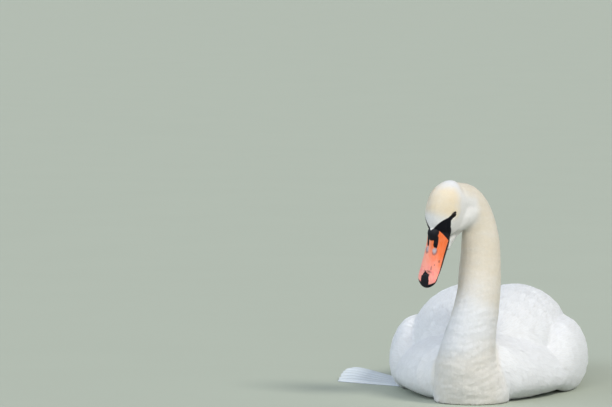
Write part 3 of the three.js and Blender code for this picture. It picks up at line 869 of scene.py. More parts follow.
def buildVanes(name, points, shading, rows, roots, tint, around):
    count, each, _ = points.shape
    points[..., 2] = np.maximum(points[..., 2], vaneBuild["floorGap"])
    faces, under = vaneFaces(len(rows))
    offsets = (np.arange(count) * each)[:, None]
    loops = np.array([v for f in faces for v in f])
    signs = np.array([-1.0 if u else 1.0 for f, u in zip(faces, under) for _ in f])
    sizes = np.array([len(f) for f in faces])
    starts = np.concatenate([[0], np.cumsum(sizes)[:-1]])
    mesh = bpy.data.meshes.new(name)
    mesh.vertices.add(count * each)
    mesh.vertices.foreach_set("co", points.astype(np.float32).ravel())
    mesh.loops.add(count * len(loops))
    mesh.loops.foreach_set("vertex_index", (offsets + loops).astype(np.int32).ravel())
    mesh.polygons.add(count * len(faces))
    loopStarts = (np.arange(count) * len(loops))[:, None] + starts
    mesh.polygons.foreach_set("loop_start", loopStarts.astype(np.int32).ravel())
    mesh.update(calc_edges=True)
    mesh.shade_smooth()
    # each feather is a small patch at its root's place on an unwrap of the skin, which around gives
    patch = np.zeros((each, 2))
    vane = np.zeros((count, each, 3))
    vane[:, :, 2] = tint[:, None]
    for r, (share, wide) in enumerate(rows):
        patch[4 * r:4 * r + 4, 0] = (-0.5 * wide, 0, 0.5 * wide, 0)
        patch[4 * r:4 * r + 4, 1] = share - 0.5
        vane[:, 4 * r:4 * r + 4, 0] = (-1, 0, 1, 0)
        vane[:, 4 * r:4 * r + 4, 1] = share
    patch[-1] = (0, 0.5)
    vane[:, -1, 1] = 1
    uv = around(roots)[:, None, :] + vaneBuild["patch"] * patch[loops][None]
    layer = mesh.uv_layers.new(name="OFBake")
    layer.data.foreach_set("uv", uv.astype(np.float32).ravel())
    keepValues(mesh, "headPlace", toHead(points.reshape(-1, 3)))
    keepValues(mesh, "vane", vane.reshape(-1, 3))
    keepValues(mesh, "stain", creamShare(points.reshape(-1, 3)))
    normals = shading[:, loops] * signs[None, :, None]
    mesh.normals_split_custom_set(normals.reshape(-1, 3))
    return addPiece(name, mesh)


# unwraps of the skin's own shape, round an axis and along it
def onPage(turn, along):
    return np.stack([0.01 + 0.98 * turn, 0.01 + 0.98 * np.clip(along, 0, 1)], 1)


def unwrapRound(centre, reach, lengthwise=(0, 1, 0), upwards=(0, 0, 1)):
    axis, up = unit(np.array(lengthwise)), unit(np.array(upwards))

    def around(points):
        away = points - np.array(centre)
        turn = np.arctan2(away @ np.cross(axis, up), away @ up) / (2 * pi) + 0.5
        along = (away @ axis - reach[0]) / (reach[1] - reach[0])
        return onPage(turn, along)
    return around


def neckTurn(points):  # the neck leans and arches, so its own middle line serves as the axis
    line = neckMiddle
    lengths = np.concatenate([[0], np.cumsum(norms(np.diff(line, axis=0)))])
    gaps = norms(points[:, None] - line)
    weights = 1 / (gaps + 1e-6) ** 6
    weights /= weights.sum(1, keepdims=True)
    middle = weights @ line
    heading = unit(weights @ unit(np.gradient(line, axis=0)))
    side = flatten(np.array([1.0, 0, 0]) + 0 * points, heading)
    front = np.cross(side, heading)
    away = points - middle
    turn = np.arctan2((away * side).sum(1), (away * front).sum(1)) / (2 * pi) + 0.5
    return onPage(turn, (weights @ lengths + (away * heading).sum(1)) / lengths[-1])


def regionTriangles(names):
    wanted = [(fleshNodes + fillNodes).index(n) for n in names]
    return np.flatnonzero(np.isin(skin["region"][skin["triangles"][:, 0]], wanted))


def between(size, share):  # one number, or a pair that the share runs through
    low, high = size if isinstance(size, tuple) else (size, size)
    return low + (high - low) * share


coatDefaults = {"sink": 0.0008, "tuck": 0.001, "thick": 0.0003, "follow": 0.5, "wrap": False, "waves": None}


def grow(name, chosen, grade, values, seed, around):
    # one coat: its sizes are numbers or pairs, and grade says how far each place is through a pair
    coat = {**coatDefaults, **values}
    body = ground["body"]

    def spacing(middle, faces):
        low = body["points"][body["triangles"][faces, 0], 2] < 0.004
        return between(coat["gap"], grade(middle, faces)) * np.where(low, coat.get("underside", 1.0), 1.0)

    roots, faces = sow(chosen, spacing, seed)
    rng = np.random.default_rng(seed + 1)
    count = len(roots)
    share = grade(roots, faces)
    length, half = between(coat["length"], share), between(coat["half"], share)
    shape = {
        **coat,
        "length": length * rng.uniform(0.88, 1.12, count),
        "half": half * rng.uniform(0.9, 1.1, count),
        "yaw": rng.normal(0, 0.05, count),
        "tint": rng.random(count),
        "lift": 0.0,
        "tuck": between(coat["tuck"], share),
        "soft": between(coat["soft"], share)[:, None],
        "droop": coat.get("droop", 0.0002 + 0.012 * half),
    }
    for key, middle, spread in coat["scatter"]:
        shape[key] = rng.normal(middle, spread, count)
    if "curl" in coat:
        shape["yaw"] = shape["yaw"] + coat["curl"] * ripple(roots, 70, seed + 9)
    piece = vanePieces("coat_" + name, roots, faces, shape, around)
    put(piece, coat["finish"], coat["slot"])


def evenly(places, faces):
    return np.zeros(len(places))


neckFeather = {"finish": featherFinish("neckFeathers", 0.8, 0.6), "slot": "neck_plumage"}
bodyFeather = {"finish": featherFinish("bodyFeathers", 0.72, 1.0), "slot": "plumage", "wrap": True}

headCoat = {
    **neckFeather, "rows": "tiny", "gap": (0.00112, 0.00082), "length": (0.0060, 0.0032),
    "half": (0.00142, 0.00095), "tuck": (0.0005, 0.0002), "sink": 0.0004, "droop": 0.00008, "thick": 0.00015,
    "soft": 0.75, "scatter": (("lift", 0.00012, 0.00010), ("yaw", 0, 0.10)),
}
headUnwrap = unwrapRound(headPlace, (-0.055, 0.08), headForward, -headUp)


def growHead():  # smallest round the black skin
    chosen = regionTriangles(["head"] + fillNodes)
    bare = skin["bare"][skin["triangles"]]
    chosen = chosen[bare[chosen].max(1) < 0.9]
    grade = lambda places, faces: smooth(bare[faces].mean(1), -14, -1)
    grow("head", chosen, grade, headCoat, 21, headUnwrap)


neckRipples = {"high": (0.0004, 0.0011), "across": 40.0, "along": 120.0, "fine": 0.4}


def neckWaves(points, way):  # short soft waves that lie across the neck, deepest at its foot
    folded = np.stack([points[:, 0], points[:, 1], way], 1)
    scale = np.array((neckRipples["across"], neckRipples["across"], neckRipples["along"]))
    wave = ripple(folded, scale, 4.0) + neckRipples["fine"] * ripple(folded, scale * 2.1, 9.0)
    return wave * between(neckRipples["high"], smooth(points[:, 2], 0.26, 0.08))


neckCoat = {
    **neckFeather, "rows": "small", "tuck": 0.0004, "thick": 0.00015, "follow": 0.7, "soft": 0.84,
    "waves": neckWaves, "curl": 0.12, "scatter": (("lift", 0, 0.00008), ("yaw", 0, 0.10)),
}
neckSizes = {
    "neck_upper": {"gap": 0.0014, "length": 0.0086, "half": 0.0021},
    "neck_middle": {"gap": 0.0019, "length": 0.0120, "half": 0.0029},
    "neck_lower": {"gap": 0.0022, "length": 0.0150, "half": 0.0036},
}


def bodyWaves(points, way):
    return 0.0005 * ripple(points, (22, 22, 22), 2.0) + 0.00025 * ripple(points, (60, 45, 60), 7.0)


trunkCoat = {
    **bodyFeather, "rows": "broad", "gap": (0.0042, 0.0062), "length": (0.022, 0.036),
    "half": (0.0048, 0.0080), "underside": 1.6, "tuck": 0.0014, "follow": 0.8, "soft": 0.72,
    "waves": bodyWaves, "scatter": (("lift", 0, 0.0002),),
}
wingCoat = {
    **bodyFeather, "rows": "long", "tuck": (0.0014, 0.0030), "soft": (0.7, 0.5), "waves": bodyWaves,
    "scatter": (("yaw", 0, 0.03), ("lift", 0, 0.0002)),
}
wingSizes = {
    "scapulars": {"gap": (0.0048, 0.0118), "length": (0.026, 0.125), "half": (0.0060, 0.0150),
                  "front": -0.17, "end": 0.19, "centre": (0.060, 0.05, 0.125)},
    "coverts": {"gap": (0.0046, 0.0110), "length": (0.022, 0.115), "half": (0.0054, 0.0140),
                "front": -0.10, "end": 0.16, "centre": (0.125, 0.05, 0.065)},
}


def growTrunk():
    chosen = regionTriangles(["trunk"])
    y = skin["points"][skin["triangles"][chosen, 0], 1]
    grade = lambda places, faces: smooth(places[:, 1], -0.20, 0.05)
    around = unwrapRound((0, 0, 0.06), (-0.26, 0.38))
    for name, own, seed in (("breast", y < -0.06, 51), ("rump", y >= -0.06, 55)):
        grow(name, chosen[own], grade, trunkCoat, seed, around)


def growWing(side, part, seed):
    size = wingSizes[part]
    x, y, z = size["centre"]
    grade = lambda places, faces: smooth(places[:, 1], size["front"], size["end"]) ** 1.3
    around = unwrapRound((x if side == "left" else -x, y, z), (-0.23, 0.30))
    node = f"wing_{side}_{part}"
    grow(node, regionTriangles([node]), grade, {**wingCoat, **size}, seed, around)


def growCoat():
    growHead()
    for i, (node, sizes) in enumerate(neckSizes.items()):
        grow(node, regionTriangles([node]), evenly, {**neckCoat, **sizes}, 31 + 4 * i, neckTurn)
    growTrunk()
    for i, side in enumerate(("left", "right")):
        for j, part in enumerate(wingSizes):
            growWing(side, part, 61 + 10 * i + 4 * j)


growCoat()

# the outlines of the long feathers of wings and tail
vaneRows["quill"] = ((0.0, 0.25), (0.06, 0.55), (0.14, 0.82), (0.26, 0.96), (0.42, 1.0), (0.58, 1.0),
                     (0.72, 0.98), (0.84, 0.90), (0.92, 0.74), (0.97, 0.52), (0.992, 0.26))
vaneRows["primary"] = ((0.0, 0.25), (0.06, 0.60), (0.14, 0.90), (0.26, 1.0), (0.42, 1.0), (0.58, 0.96),
                       (0.72, 0.87), (0.84, 0.70), (0.92, 0.50), (0.97, 0.32), (0.992, 0.16))
vaneRows["grounded"] = ((0.0, 0.30), (0.10, 0.36), (0.22, 0.42), (0.36, 0.50), (0.50, 0.62), (0.62, 0.76),
                        (0.74, 0.91), (0.84, 1.0), (0.92, 0.93), (0.97, 0.70), (0.992, 0.38))
quillWave = {"high": 0.0006, "turn": 9}  # the vane's slow wave from root to tip


def quillSet(name, kind, roots, tips, faces, size, seed, node, finish):
    # straight long feathers from root to tip, each face turned its own way, with a ridge along the shaft
    rng = np.random.default_rng(seed)
    roots, tips, faces = (np.array(v, float) for v in (roots, tips, faces))
    count = len(roots)
    along = unit(tips - roots)
    up = flatten(faces, along)
    side = np.cross(along, up)
    rows = vaneRows[kind]
    points = np.empty((count, 4 * len(rows) + 1, 3))
    shading = np.empty_like(points)
    phase = rng.uniform(0, 6, count)
    for r, (share, wide) in enumerate(rows):
        middle = roots + (tips - roots) * share + up * (size["bow"] * 4 * share * (1 - share))
        wave = (quillWave["high"] * np.sin(share * quillWave["turn"] + phase))[:, None]
        corners = ((-1.0, size["drop"]), (0.0, 0.0), (1.0, size["drop"]), (0.0, size["thick"]))
        for k, (out, drop) in enumerate(corners):
            flat = side * size["half"] * wide * out
            points[:, 4 * r + k] = middle + flat - up * drop * wide + up * wave * abs(out)
            shading[:, 4 * r + k] = unit(up + side * size["roof"] * out)
    points[:, -1] = tips
    shading[:, -1] = up
    around = lambda p: np.stack([np.linspace(0.1, 0.9, count), np.full(count, 0.5)], 1)
    piece = buildVanes(name, points, shading, rows, roots, rng.random(count), around)
    put(piece, finish, "flight_feathers", node)


flightFinish = featherFinish("flightFeathers", 0.62, 1.6)
# painted shade: the let-down tips are darkened to bluish grey, as they lie in shade by the ground
shadedGroundFinish = featherFinish("letDownFeathers", 0.62, 1.6, (0.66, 0.71, 0.74))

groundTip = {
    "root": (-0.126, -0.020, 0.0018), "step": (0.002, 0.0040, 0.0002),
    "face": (-0.35, -0.62, 0.70),
    "tips": ((-0.282, 0.058, 0.0022), (-0.2818, 0.070, 0.0062), (-0.2808, 0.082, 0.0104),
             (-0.2792, 0.093, 0.0142), (-0.2762, 0.105, 0.0172), (-0.2690, 0.109, 0.0184)),
    "size": {"half": 0.0088, "bow": 0.0005, "drop": 0.0016, "thick": 0.0010, "roof": 0.55},
}

foldedTip = {
    "root": (0.070, 0.215, 0.121), "step": (-0.0035, 0.004, 0.0016),
    "face": (0.50, -0.05, 1.0),
    "tips": ((0.058, 0.318, 0.1320), (0.051, 0.340, 0.1345), (0.043, 0.360, 0.1370), (0.034, 0.378, 0.1400),
             (0.023, 0.393, 0.1435), (0.009, 0.406, 0.1480)),
    "size": {"half": 0.0105, "bow": 0.004, "drop": 0.0022, "thick": 0.0012, "roof": 0.3},
}


def growTip(side, kind, tip, seed, finish):
    roots = np.array(tip["root"]) + np.arange(len(tip["tips"]))[:, None] * np.array(tip["step"])
    faces = [tip["face"]] * len(roots)
    node = f"wing_{side}_primaries"
    quillSet("wing_tip_" + side, kind, roots, tip["tips"], faces, tip["size"], seed, node, finish)


tailShape = {"pairs": 8, "rootHalf": 0.030, "root": (0.270, 0.1030), "tipHalf": 0.058, "tip": 0.447,
             "round": 0.062, "level": 0.1215, "stack": 0.0105,
             "size": {"half": 0.0115, "bow": 0.003, "drop": 0.0026, "thick": 0.0012, "roof": 0.3}}


def growTail():
    roots, tips, faces = [], [], []
    for i in range(tailShape["pairs"] * 2):
        share = (i + 0.5) / tailShape["pairs"] - 1
        high = tailShape["stack"] * (1 - abs(share))  # the middle pair lies on top
        y, z = tailShape["root"]
        roots.append((share * tailShape["rootHalf"], y, z + high * 0.6))
        tips.append((share * tailShape["tipHalf"], tailShape["tip"] - tailShape["round"] * abs(share) ** 1.8,
                     tailShape["level"] + high - 0.010 * share ** 2))
        faces.append((share * 0.75, 0.0, 1.0))
    quillSet("tail_feathers", "quill", roots, tips, faces, tailShape["size"], 85, "tail", flightFinish)


growTip("right", "grounded", groundTip, 81, shadedGroundFinish)
growTip("left", "primary", foldedTip, 83, flightFinish)
growTail()

# the bill, in the head's frame, in millimetres
billShape = {
    # along, half width, top, squareness
    "rows": ((28, 19.8, 20.4, 1.9), (38, 20.0, 20.6, 1.9), (46, 20.0, 19.6, 1.85), (54, 19.5, 17.4, 1.8),
             (62, 19.1, 14.2, 1.8), (74, 19.0, 9.6, 1.9), (92, 19.3, 5.2, 2.0), (110, 19.7, 1.8, 2.1),
             (126, 19.5, -1.2, 2.2), (142, 16.8, -5.5, 2.2)),
    "start": 28, "end": 142, "rings": 150, "segments": 120, "level": -7.5, "tipReach": 17.0, "below": 4.9,
    # ovals: along, side, half length and half width, and the height or depth
    "knob": ((48.5, 0, 13.5, 12.5), 4.4),
    "fossa": ((66.0, 8.3, 12.0, 3.4), 1.5),
    "nostril": ((71.0, 8.3, 5.0, 1.9), 2.2),
    "nail": ((131.5, 0, 12.5, 9.4), 0.9),
    # rounded steps: height or depth, place and half width
    "dent": (0.3, 1.05, 0.05),
    "lip": (0.35, 3.2, 0.9),
    "uneven": 0.16,
}


def bent(value, power):
    return np.sign(value) * np.abs(value) ** (2 / power)


def oval(f, l, at, side, long, wide):  # 0 in the middle of an oval and 1 on its edge
    a = (f - at) / long
    b = (l - side) / wide
    return rootOf(a * a + b * b)


def quadRows(rings, segments, closed=False):  # faces between rings of points
    faces = []
    for i in range(rings if closed else rings - 1):
        j = (i + 1) % rings
        for k in range(segments):
            n = (k + 1) % segments
            faces.append((i * segments + k, i * segments + n, j * segments + n, j * segments + k))
    return faces


def ringFaces(rings, segments):
    last = (rings - 1) * segments
    ends = [tuple(range(segments))[::-1], tuple(range(last, last + segments))]
    return quadRows(rings, segments) + ends


def circle(segments):
    turn = np.linspace(0, 2 * pi, segments, endpoint=False)
    return np.cos(turn), np.sin(turn)


def billSurface(bill):  # rings from the root to the tip, closer together towards the tip
    start, end, level = bill["start"], bill["end"], bill["level"]
    even = np.linspace(0, 1, bill["rings"])
    f = start + (end - start) * (0.45 * even + 0.55 * np.sin(even * pi / 2))
    f[-1] = end - 0.02
    half, top, sharp = alongRows(bill["rows"], f, 3)
    full = np.sqrt(np.clip(1 - (1 - np.clip((end - f) / bill["tipReach"], 0, 1)) ** 2, 0, 1))[:, None]
    c, s = circle(bill["segments"])
    power = np.where(s >= 0, sharp[:, None], 2.2)
    high = np.where(s >= 0, (top - level)[:, None], bill["below"])
    wide = half[:, None] * full * bent(c, power)
    return np.stack([f[:, None] + 0 * c, wide, level + full * high * bent(s, power)], 2).reshape(-1, 3)


def buildUpperBill():
    s = billShape
    points = billSurface(s)
    faces = ringFaces(s["rings"], s["segments"])
    normals = vertexNormals(points, splitFaces(quadRows(s["rings"], s["segments"])))
    f, l, u = points.T
    upper = smooth(u, s["level"], s["level"] + 2)
    place, high = s["knob"]
    out = high * np.clip(1 - oval(f, l, *place) ** 2, 0, 1) ** 1.15 * upper
    for sideSign in (-1, 1):
        for place, deep in (s["fossa"], s["nostril"]):
            out = out - deep * np.exp(-oval(f, l * sideSign, *place) ** 4) * upper
    place, high = s["nail"]
    nail = oval(f, l, *place)
    deep, at, wide = s["dent"]
    dent = deep * np.exp(-((nail - at) / wide) ** 2)
    out = out + (high * smooth(nail, 1.02, 0.86) - dent) * upper
    # the cutting edge is a thin rolled lip, and the horn is slightly uneven
    thick, under, wide = s["lip"]
    out = out + thick * np.exp(-((u - (s["level"] - under)) / wide) ** 2)
    out = out + s["uneven"] * ripple(points, (0.09, 0.2, 0.2), 3.0) * upper
    points = points + normals * out[:, None]
    piece = meshFrom("bill_horn", fromHead(points), faces)
    keepValues(piece.data, "headPlace", points)
    return piece


billPaint = {
    "orange": (0.75, 0.150, 0.036),
    "salmon": (0.85, 0.235, 0.135),
    "pink": (0.85, 0.34, 0.30),
    "rose": (0.80, 0.19, 0.19),
    "black": (0.0045, 0.0042, 0.0085),
    "grey": (0.35, 0.34, 0.385),
    "brown": (0.20, 0.075, 0.05),
    "pale": (0.93, 0.44, 0.33),
}

billMarks = {
    # ovals: along, side, half length and half width
    "greyPatch": (76.4, 7.6, 6.2, 3.7),
    "knob": (46.0, 0.0, 15.2, 11.9),
    "nail": (131.0, -1.2, 16.5, 9.0),
    "nearNail": (119.0, 0.0, 10.0, 11.0),
    "scuffs": ((92.0, 17.2, 3.0, 1.2), (107.5, 7.4, 4.6, 1.5), (114.0, 4.4, 1.7, 5.5),
               (100.5, 12.0, 2.0, 0.9)),
    # where each starts along the bill, and where it is whole
    "salmon": (58.0, 96.0),
    "pink": (76.0, 122.0),
    "rose": (92.0, 112.0),
    "pale": (120.0, 80.0),
    "worn": (86.0, 104.0),
    "blackLip": (96.0, 128.0),
}


def billFinish():
    finish = Finish("billHorn")
    marks = billMarks
    headPoint = finish.stored("headPlace")
    f, l, u = finish.parts(headPoint)
    side = abs(l)
    cloud = finish.grain(headPoint, 0.11)
    speck = finish.grain(headPoint, 0.42, 4.0)
    streaks = finish.grain(finish.stretch(headPoint, (0.06, 0.55, 0.55)), 1.0, 3.0)
    edge = (speck - 0.5) * 1.6
    # orange at the root, salmon along the middle and pink at the tip; they come sooner on the side at
    # negative l, partly the horn's own colour and partly painted highlight
    salmon = finish.ease(f - l * 0.9 + (cloud - 0.5) * 30, *marks["salmon"])
    finish.colour = finish.mix(salmon, billPaint["orange"], billPaint["salmon"])
    pink = finish.ease(f - l * 0.6 + (cloud - 0.5) * 36, *marks["pink"])
    finish.paint(pink * 0.9, billPaint["pink"])
    flush = finish.ease(cloud, 0.50, 0.72) * finish.ease(f, *marks["rose"])
    finish.paint(flush * 0.75, billPaint["rose"])
    # painted highlight: the side at negative l is paled, as where light falls on it; the pale streaks are
    # the horn's own
    paintedLitSide = finish.ease(l, 5.0, -7.0) * finish.ease(f, *marks["pale"]) * 0.45
    finish.paint((streaks - 0.35) * 0.45 + paintedLitSide, billPaint["pale"])
    # a pale grey patch in front of the nostril, with painted shade along its lower rim
    patch = oval(f, side, *marks["greyPatch"]) + (speck - 0.5) * 0.7
    finish.paint(finish.ease(patch, 1.15, 0.65) * (0.70 + speck * 0.4), billPaint["grey"])
    # painted shade: a dark crescent along the patch's lower rim
    rimShade = finish.ease(abs(patch - 1.0), 0.55, 0.1) * finish.ease(f + side * 0.9, 81.5, 87.0)
    finish.paint(rimShade * 0.6, (0.17, 0.09, 0.095))
    knob = 1.0 - oval(f, side, *marks["knob"])
    base = (42.0 + (14.5 - u) * 0.49 - f) / 12.0
    long = (f - 60.5) / 11.0
    wide = (side - 8.2 + (f - 60.5) * 0.05) / 3.4
    slot = 1.0 - ((long ** 4.0) + (wide * wide * wide * wide)) ** 0.25
    nail = 1.0 - oval(f, l, *marks["nail"]) + (streaks - 0.5) * 0.6
    tip = (f + side * side * 0.024 - 136.6) / 8.0
    lip = (finish.ease(f, *marks["blackLip"]) * 3.6 - 9.4 - u) / 8.0
    black = (knob + edge * 0.04).most(base + edge * 0.05).most(slot + edge * 0.16)
    black = black.most(nail).most(tip + edge * 0.1).most(lip + edge * 0.1)
    scratch = finish.grain(finish.stretch(headPoint, (0.16, 0.5, 0.5)), 1.0, 5.0, 0.7)
    worn = finish.ease(scratch, 0.635, 0.69) * finish.ease(f, *marks["worn"]) * 0.7
    for place in marks["scuffs"]:
        mark = oval(f, l, *place) + (scratch - 0.5) * 2.2
        finish.paint(finish.ease(mark, 1.3, 0.3) * 0.7, billPaint["brown"])
    nearNail = finish.ease(oval(f, l, *marks["nearNail"]), 1.1, 0.5)
    nearNail = nearNail * finish.ease(speck, 0.50, 0.62)
    finish.paint(worn.most(nearNail * 0.8), (0.11, 0.055, 0.045))
    dark = finish.ease(black, -0.02, 0.05)
    finish.paint(dark, billPaint["black"])
    # the point of the forehead's white feathering runs down on to the knob
    white = finish.ease(f + side * faceMarks["foreheadSlope"] + l * faceMarks["foreheadLean"] + edge * 0.9,
                        faceMarks["foreheadPoint"] + 0.4, faceMarks["foreheadPoint"] - 0.6)
    finish.paint(white, tuple(0.8 * c for c in plumage["face"]))
    height = streaks * 0.5 + speck * 0.5
    return finish.surface(
        Roughness=0.36 + speck * 0.16 + dark * 0.08 + white * 0.3,
        Specular_IOR_Level=0.22,
        Subsurface_Weight=0.10,
        Subsurface_Radius=(1.0, 0.35, 0.2),
        Subsurface_Scale=0.003,
        Normal=finish.bump(height, 0.0005, 0.5),
    )


lowerShape = {
    # along, half width, top, squareness
    "rows": ((34, 12.5, -12.8, 2.4), (46, 15.4, -12.8, 2.4), (57, 17.5, -12.8, 2.4),
             (72, 17.4, -12.8, 2.4), (110, 16.2, -12.8, 2.4), (137, 11.6, -12.8, 2.4)),
    "start": 34, "end": 137, "rings": 70, "segments": 64, "level": -15.0, "tipReach": 14.0, "below": 1.0,
    "keel": ((34, -20.0), (70, -18.6), (110, -16.8), (137, -15.2)),
}


def buildLowerBill():
    points = billSurface(lowerShape)
    level = lowerShape["level"]
    low = alongRows(lowerShape["keel"], points[:, 0], 1)[0]
    under = points[:, 2] < level
    points[under, 2] = level + (points[under, 2] - level) * (level - low[under])
    faces = ringFaces(lowerShape["rings"], lowerShape["segments"])
    piece = meshFrom("bill_lower_horn", fromHead(points), faces)
    keepValues(piece.data, "headPlace", points)
    return piece


def lowerBillFinish():
    finish = Finish("lowerHorn")
    headPoint = finish.stored("headPlace")
    speck = finish.grain(headPoint, 0.35, 4.0)
    # painted shade: the lower bill is near-black all over, its own black edge and painted shade under the
    # upper bill
    finish.colour = finish.mix(finish.ease(speck, 0.45, 0.75), (0.012, 0.009, 0.009), (0.07, 0.025, 0.018))
    return finish.surface(Roughness=0.42 + speck * 0.2,
                          Normal=finish.bump(speck, 0.0004, 0.5))


pointCoat = {
    **neckFeather, "rows": "tiny", "gap": 0.0009, "length": 0.0032, "half": 0.0009, "tuck": 0.0002,
    "sink": 0.0003, "droop": 0.00006, "thick": 0.00012, "soft": 0.75,
    "scatter": (("lift", 0.0001, 0.00008),),
}
pointReach = (35, 50, 14)  # start, end and lowest level, in the head's frame


def growForeheadPoint(horn):  # the white point of the forehead's coat, laid on the root of the knob
    mesh = horn.data
    mesh.calc_loop_triangles()
    points = np.array([v.co for v in mesh.vertices])
    triangles = np.array([t.vertices for t in mesh.loop_triangles])
    local = toHead(points)
    start, end, low = pointReach
    inside = (bareness(*local.T) < 0.3) & (local[:, 0] > start) & (local[:, 0] < end) & (local[:, 2] > low)
    normals = vertexNormals(points, triangles)
    lie = flatten(-headForward + 0 * points, normals)
    flat = np.zeros(len(points))
    ground["body"] = groundOf(points, triangles, normals, lie, flat, flat + 0.0005)
    chosen = np.flatnonzero(inside[triangles].all(1))
    grow("forehead_point", chosen, evenly, pointCoat, 91, headUnwrap)
    ground["body"] = skin


hornPiece = put(buildUpperBill(), billFinish(), "bill", "bill_upper")
growForeheadPoint(hornPiece)
put(buildLowerBill(), lowerBillFinish(), "bill_lower", "bill_lower")

lidShape = {"long": 4.8, "short": 3.2, "outerLong": 7.2, "outerShort": 5.4, "level": 5.15, "edge": 4.0,
            "roll": 0.22, "corners": (0.7, 0.4), "gap": 0.25, "underside": (5.6, 4.6, 1.5),
            "rings": 13, "segments": 72}


def eyeFinish():
    finish = Finish("eyeBall")
    away = finish.stored("pupilAway", "Fac")
    ring = finish.grain(finish.stored("headPlace"), 1.6, 4.0)
    iris = finish.mix(finish.ease(ring, 0.3, 0.7), (0.007, 0.0035, 0.0025), (0.022, 0.010, 0.006))
    pupil, edge = eyeShape["pupil"], eyeShape["iris"]
    finish.colour = finish.mix(finish.ease(away, pupil - 0.2, pupil + 0.2), (0.002, 0.002, 0.002), iris)
    finish.paint(finish.ease(away, edge - 0.2, edge + 0.5), (0.012, 0.010, 0.010))
    return finish.surface(Roughness=0.3, Coat_Weight=0.35, Coat_Roughness=0.02,
                          Specular_IOR_Level=0.08)


def roundEye(axes, x, y, high):  # places by the eye's own axes
    centre, out, along, across = axes
    parts = np.broadcast_arrays(x, y, high)
    return centre + sum(part.reshape(-1, 1) * axis for part, axis in zip(parts, (along, across, out)))


def mended(name, points, faces):
    piece = meshFrom(name, fromHead(points), faces)
    mend = bmesh.new()
    mend.from_mesh(piece.data)
    bmesh.ops.remove_doubles(mend, verts=mend.verts, dist=1e-7)
    bmesh.ops.recalc_face_normals(mend, faces=mend.faces)
    mend.to_mesh(piece.data)
    mend.free()
    piece.data.shade_smooth()
    local = toHead([v.co for v in piece.data.vertices])
    keepValues(piece.data, "headPlace", local)
    return piece, local


def buildEye(side, finish):
    axes = eyeAxes(1 if side == "left" else -1)
    rings, segments = eyeShape["rings"], eyeShape["segments"]
    c, s = circle(segments)
    polar = np.linspace(0, pi, rings)[:, None]
    r = eyeShape["radius"] * np.sin(polar)
    high, wide = eyeShape["bulge"]
    bulge = np.where(polar < pi / 2, high * np.exp(-(r / wide) ** 2), 0)
    points = roundEye(axes, r * c, r * s, eyeShape["radius"] * np.cos(polar) + bulge)
    faces = quadRows(rings, segments)
    if side == "left":
        faces = [f[::-1] for f in faces]
    piece, local = mended("eye_ball_" + side, points, faces)
    gone = local - axes[0]
    high = (gone @ axes[1])[:, None]
    keepValues(piece.data, "pupilAway", np.where(high[:, 0] > 0, norms(gone - high * axes[1]), 9.0))
    put(piece, finish, "eye", "eye_" + side)


def lidFinish():
    finish = Finish("lidSkin", plumage["bare"])
    creases = finish.grain(finish.stored("headPlace"), 1.4, 4.0)
    return finish.surface(Roughness=0.46 + creases * 0.2, Specular_IOR_Level=0.22,
                          Normal=finish.bump(creases, 0.0004, 0.6))


def buildLids(side, finish):
    axes = eyeAxes(1 if side == "left" else -1)
    lid = lidShape
    c, s = circle(lid["segments"])
    share = np.linspace(0, 1, lid["rings"])[:, None]
    inner = 1 / np.hypot(c / lid["long"], s / lid["short"])
    front, back = lid["corners"]
    inner = inner + front * np.maximum(c, 0) ** 10 + back * np.maximum(-c, 0) ** 10
    outer = 1 / np.hypot(c / lid["outerLong"], s / lid["outerShort"])
    r = inner + (outer - inner) * share
    atBall = np.sqrt(np.maximum((eyeShape["radius"] + lid["gap"]) ** 2 - inner ** 2, 0.5))
    plain = between((lid["level"], lid["edge"]), smooth(share, 0.45, 1.0))
    blend = smooth(share, 0.0, 0.55)
    high = atBall * (1 - blend) + plain * blend + lid["roll"] * np.exp(-((share - 0.10) / 0.10) ** 2)
    # an under side closes the lids, tucked into the head
    long, short, deep = lid["underside"]
    points = np.concatenate([roundEye(axes, r * c, r * s, high), roundEye(axes, long * c, short * s, deep)])
    piece, _ = mended("eye_lids_" + side, points, quadRows(lid["rings"] + 1, lid["segments"], True))
    put(piece, finish, "bill_lower")


eyeGloss = eyeFinish()
lidSkin = lidFinish()
for side in ("left", "right"):
    buildEye(side, eyeGloss)
    buildLids(side, lidSkin)


footShape = {"swell": 0.0003, "voxel": 0.0013, "rounds": 6}


def footFinish():
    finish = Finish("footSkin")
    place = finish.place()
    scales = finish.node("TexVoronoi", {"feature": "DISTANCE_TO_EDGE"}, {"Vector": place, "Scale": 420.0})
    cloud = finish.grain(place, 60.0)
    finish.colour = finish.mix(cloud, (0.016, 0.016, 0.018), (0.05, 0.048, 0.045))
    return finish.surface(Roughness=0.5 + cloud * 0.2,
                          Normal=finish.bump(finish.ease(scales, 0.0, 0.12), 0.0006, 0.6))


def buildFoot(side, finish):
    nodes = ["foot_" + side, "leg_" + side]
    points, triangles, _ = joinedNodes(nodes, footShape["swell"])
    mesh = remeshed(points, triangles, footShape["voxel"], footShape["rounds"])
    mesh.shade_smooth()
    for vert in mesh.vertices:
        vert.co.z = max(vert.co.z, 0.0)
    put(addPiece("webbed_foot_" + side, mesh), finish, "foot_skin", *nodes)


footSkin = footFinish()
for side in ("left", "right"):
    buildFoot(side, footSkin)


stage = {"floor": (0.36, 0.395, 0.33), "size": 160.0}


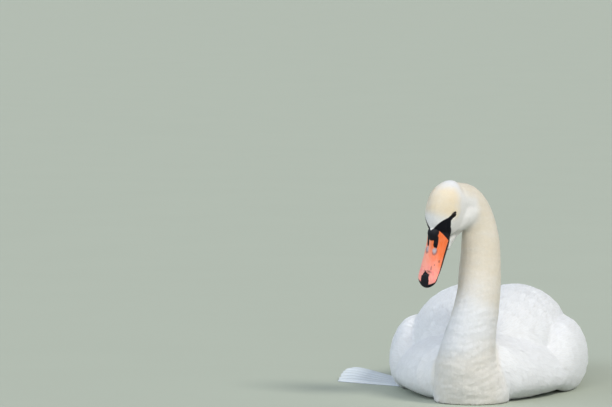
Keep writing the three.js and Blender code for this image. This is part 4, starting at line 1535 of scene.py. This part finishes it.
def buildFloor():
    half = stage["size"] / 2
    floor = meshFrom("floor", [(-half, -half, 0), (half, -half, 0), (half, half, 0), (-half, half, 0)],
                     [(0, 1, 2, 3)], False)
    finish = Finish("paleFloor")
    cloud = finish.grain(finish.place(), 3.0)
    finish.colour = finish.mix(cloud, stage["floor"], tuple(c * 0.96 for c in stage["floor"]))
    floor.data.materials.append(finish.surface(Roughness=0.9))


studio = {
    "key": {"from": (0.68, -0.44, 0.78), "angle": 16.0, "power": 2.3, "colour": (1.0, 0.965, 0.90)},
    "front": {"from": (0.10, -1.0, 0.45), "angle": 50.0, "power": 1.40, "colour": (1.0, 0.98, 0.96)},
    "left": {"from": (-1.0, -0.45, 0.60), "angle": 50.0, "power": 1.30, "colour": (0.76, 0.87, 1.0)},
}
skyLight = {"colour": (0.84, 0.91, 1.0), "strength": 0.46}


def addLight(name, values):
    lamp = bpy.data.lights.new(name, "SUN")
    lamp.angle = radians(values["angle"])
    lamp.energy = values["power"]
    lamp.color = values["colour"]
    piece = addPiece(name, lamp)
    piece.location = Vector(values["from"]) * 3
    piece.rotation_euler = Vector(values["from"]).to_track_quat("Z", "Y").to_euler()


def addSky():
    world = bpy.data.worlds.new("softSky")
    world.use_nodes = True
    background = world.node_tree.nodes["Background"]
    background.inputs["Color"].default_value = (*skyLight["colour"], 1.0)
    background.inputs["Strength"].default_value = skyLight["strength"]
    bpy.context.scene.world = world


viewer = {"place": (1.0577, -7.5260, 0.850), "pan": 10.451, "tilt": -3.902, "lens": 250.0, "sensor": 36.0}


def addCamera():
    lens = bpy.data.cameras.new("camera")
    lens.lens = viewer["lens"]
    lens.sensor_width = viewer["sensor"]
    lens.clip_end = 400.0
    camera = addPiece("camera", lens)
    camera.location = viewer["place"]
    camera.rotation_euler = Euler((radians(90 + viewer["tilt"]), 0.0, radians(viewer["pan"])), "XYZ")
    bpy.context.scene.camera = camera


buildFloor()
for name, values in studio.items():
    addLight(name, values)
addSky()
addCamera()
bpy.context.scene.view_settings.view_transform = "Standard"
print("stage set")
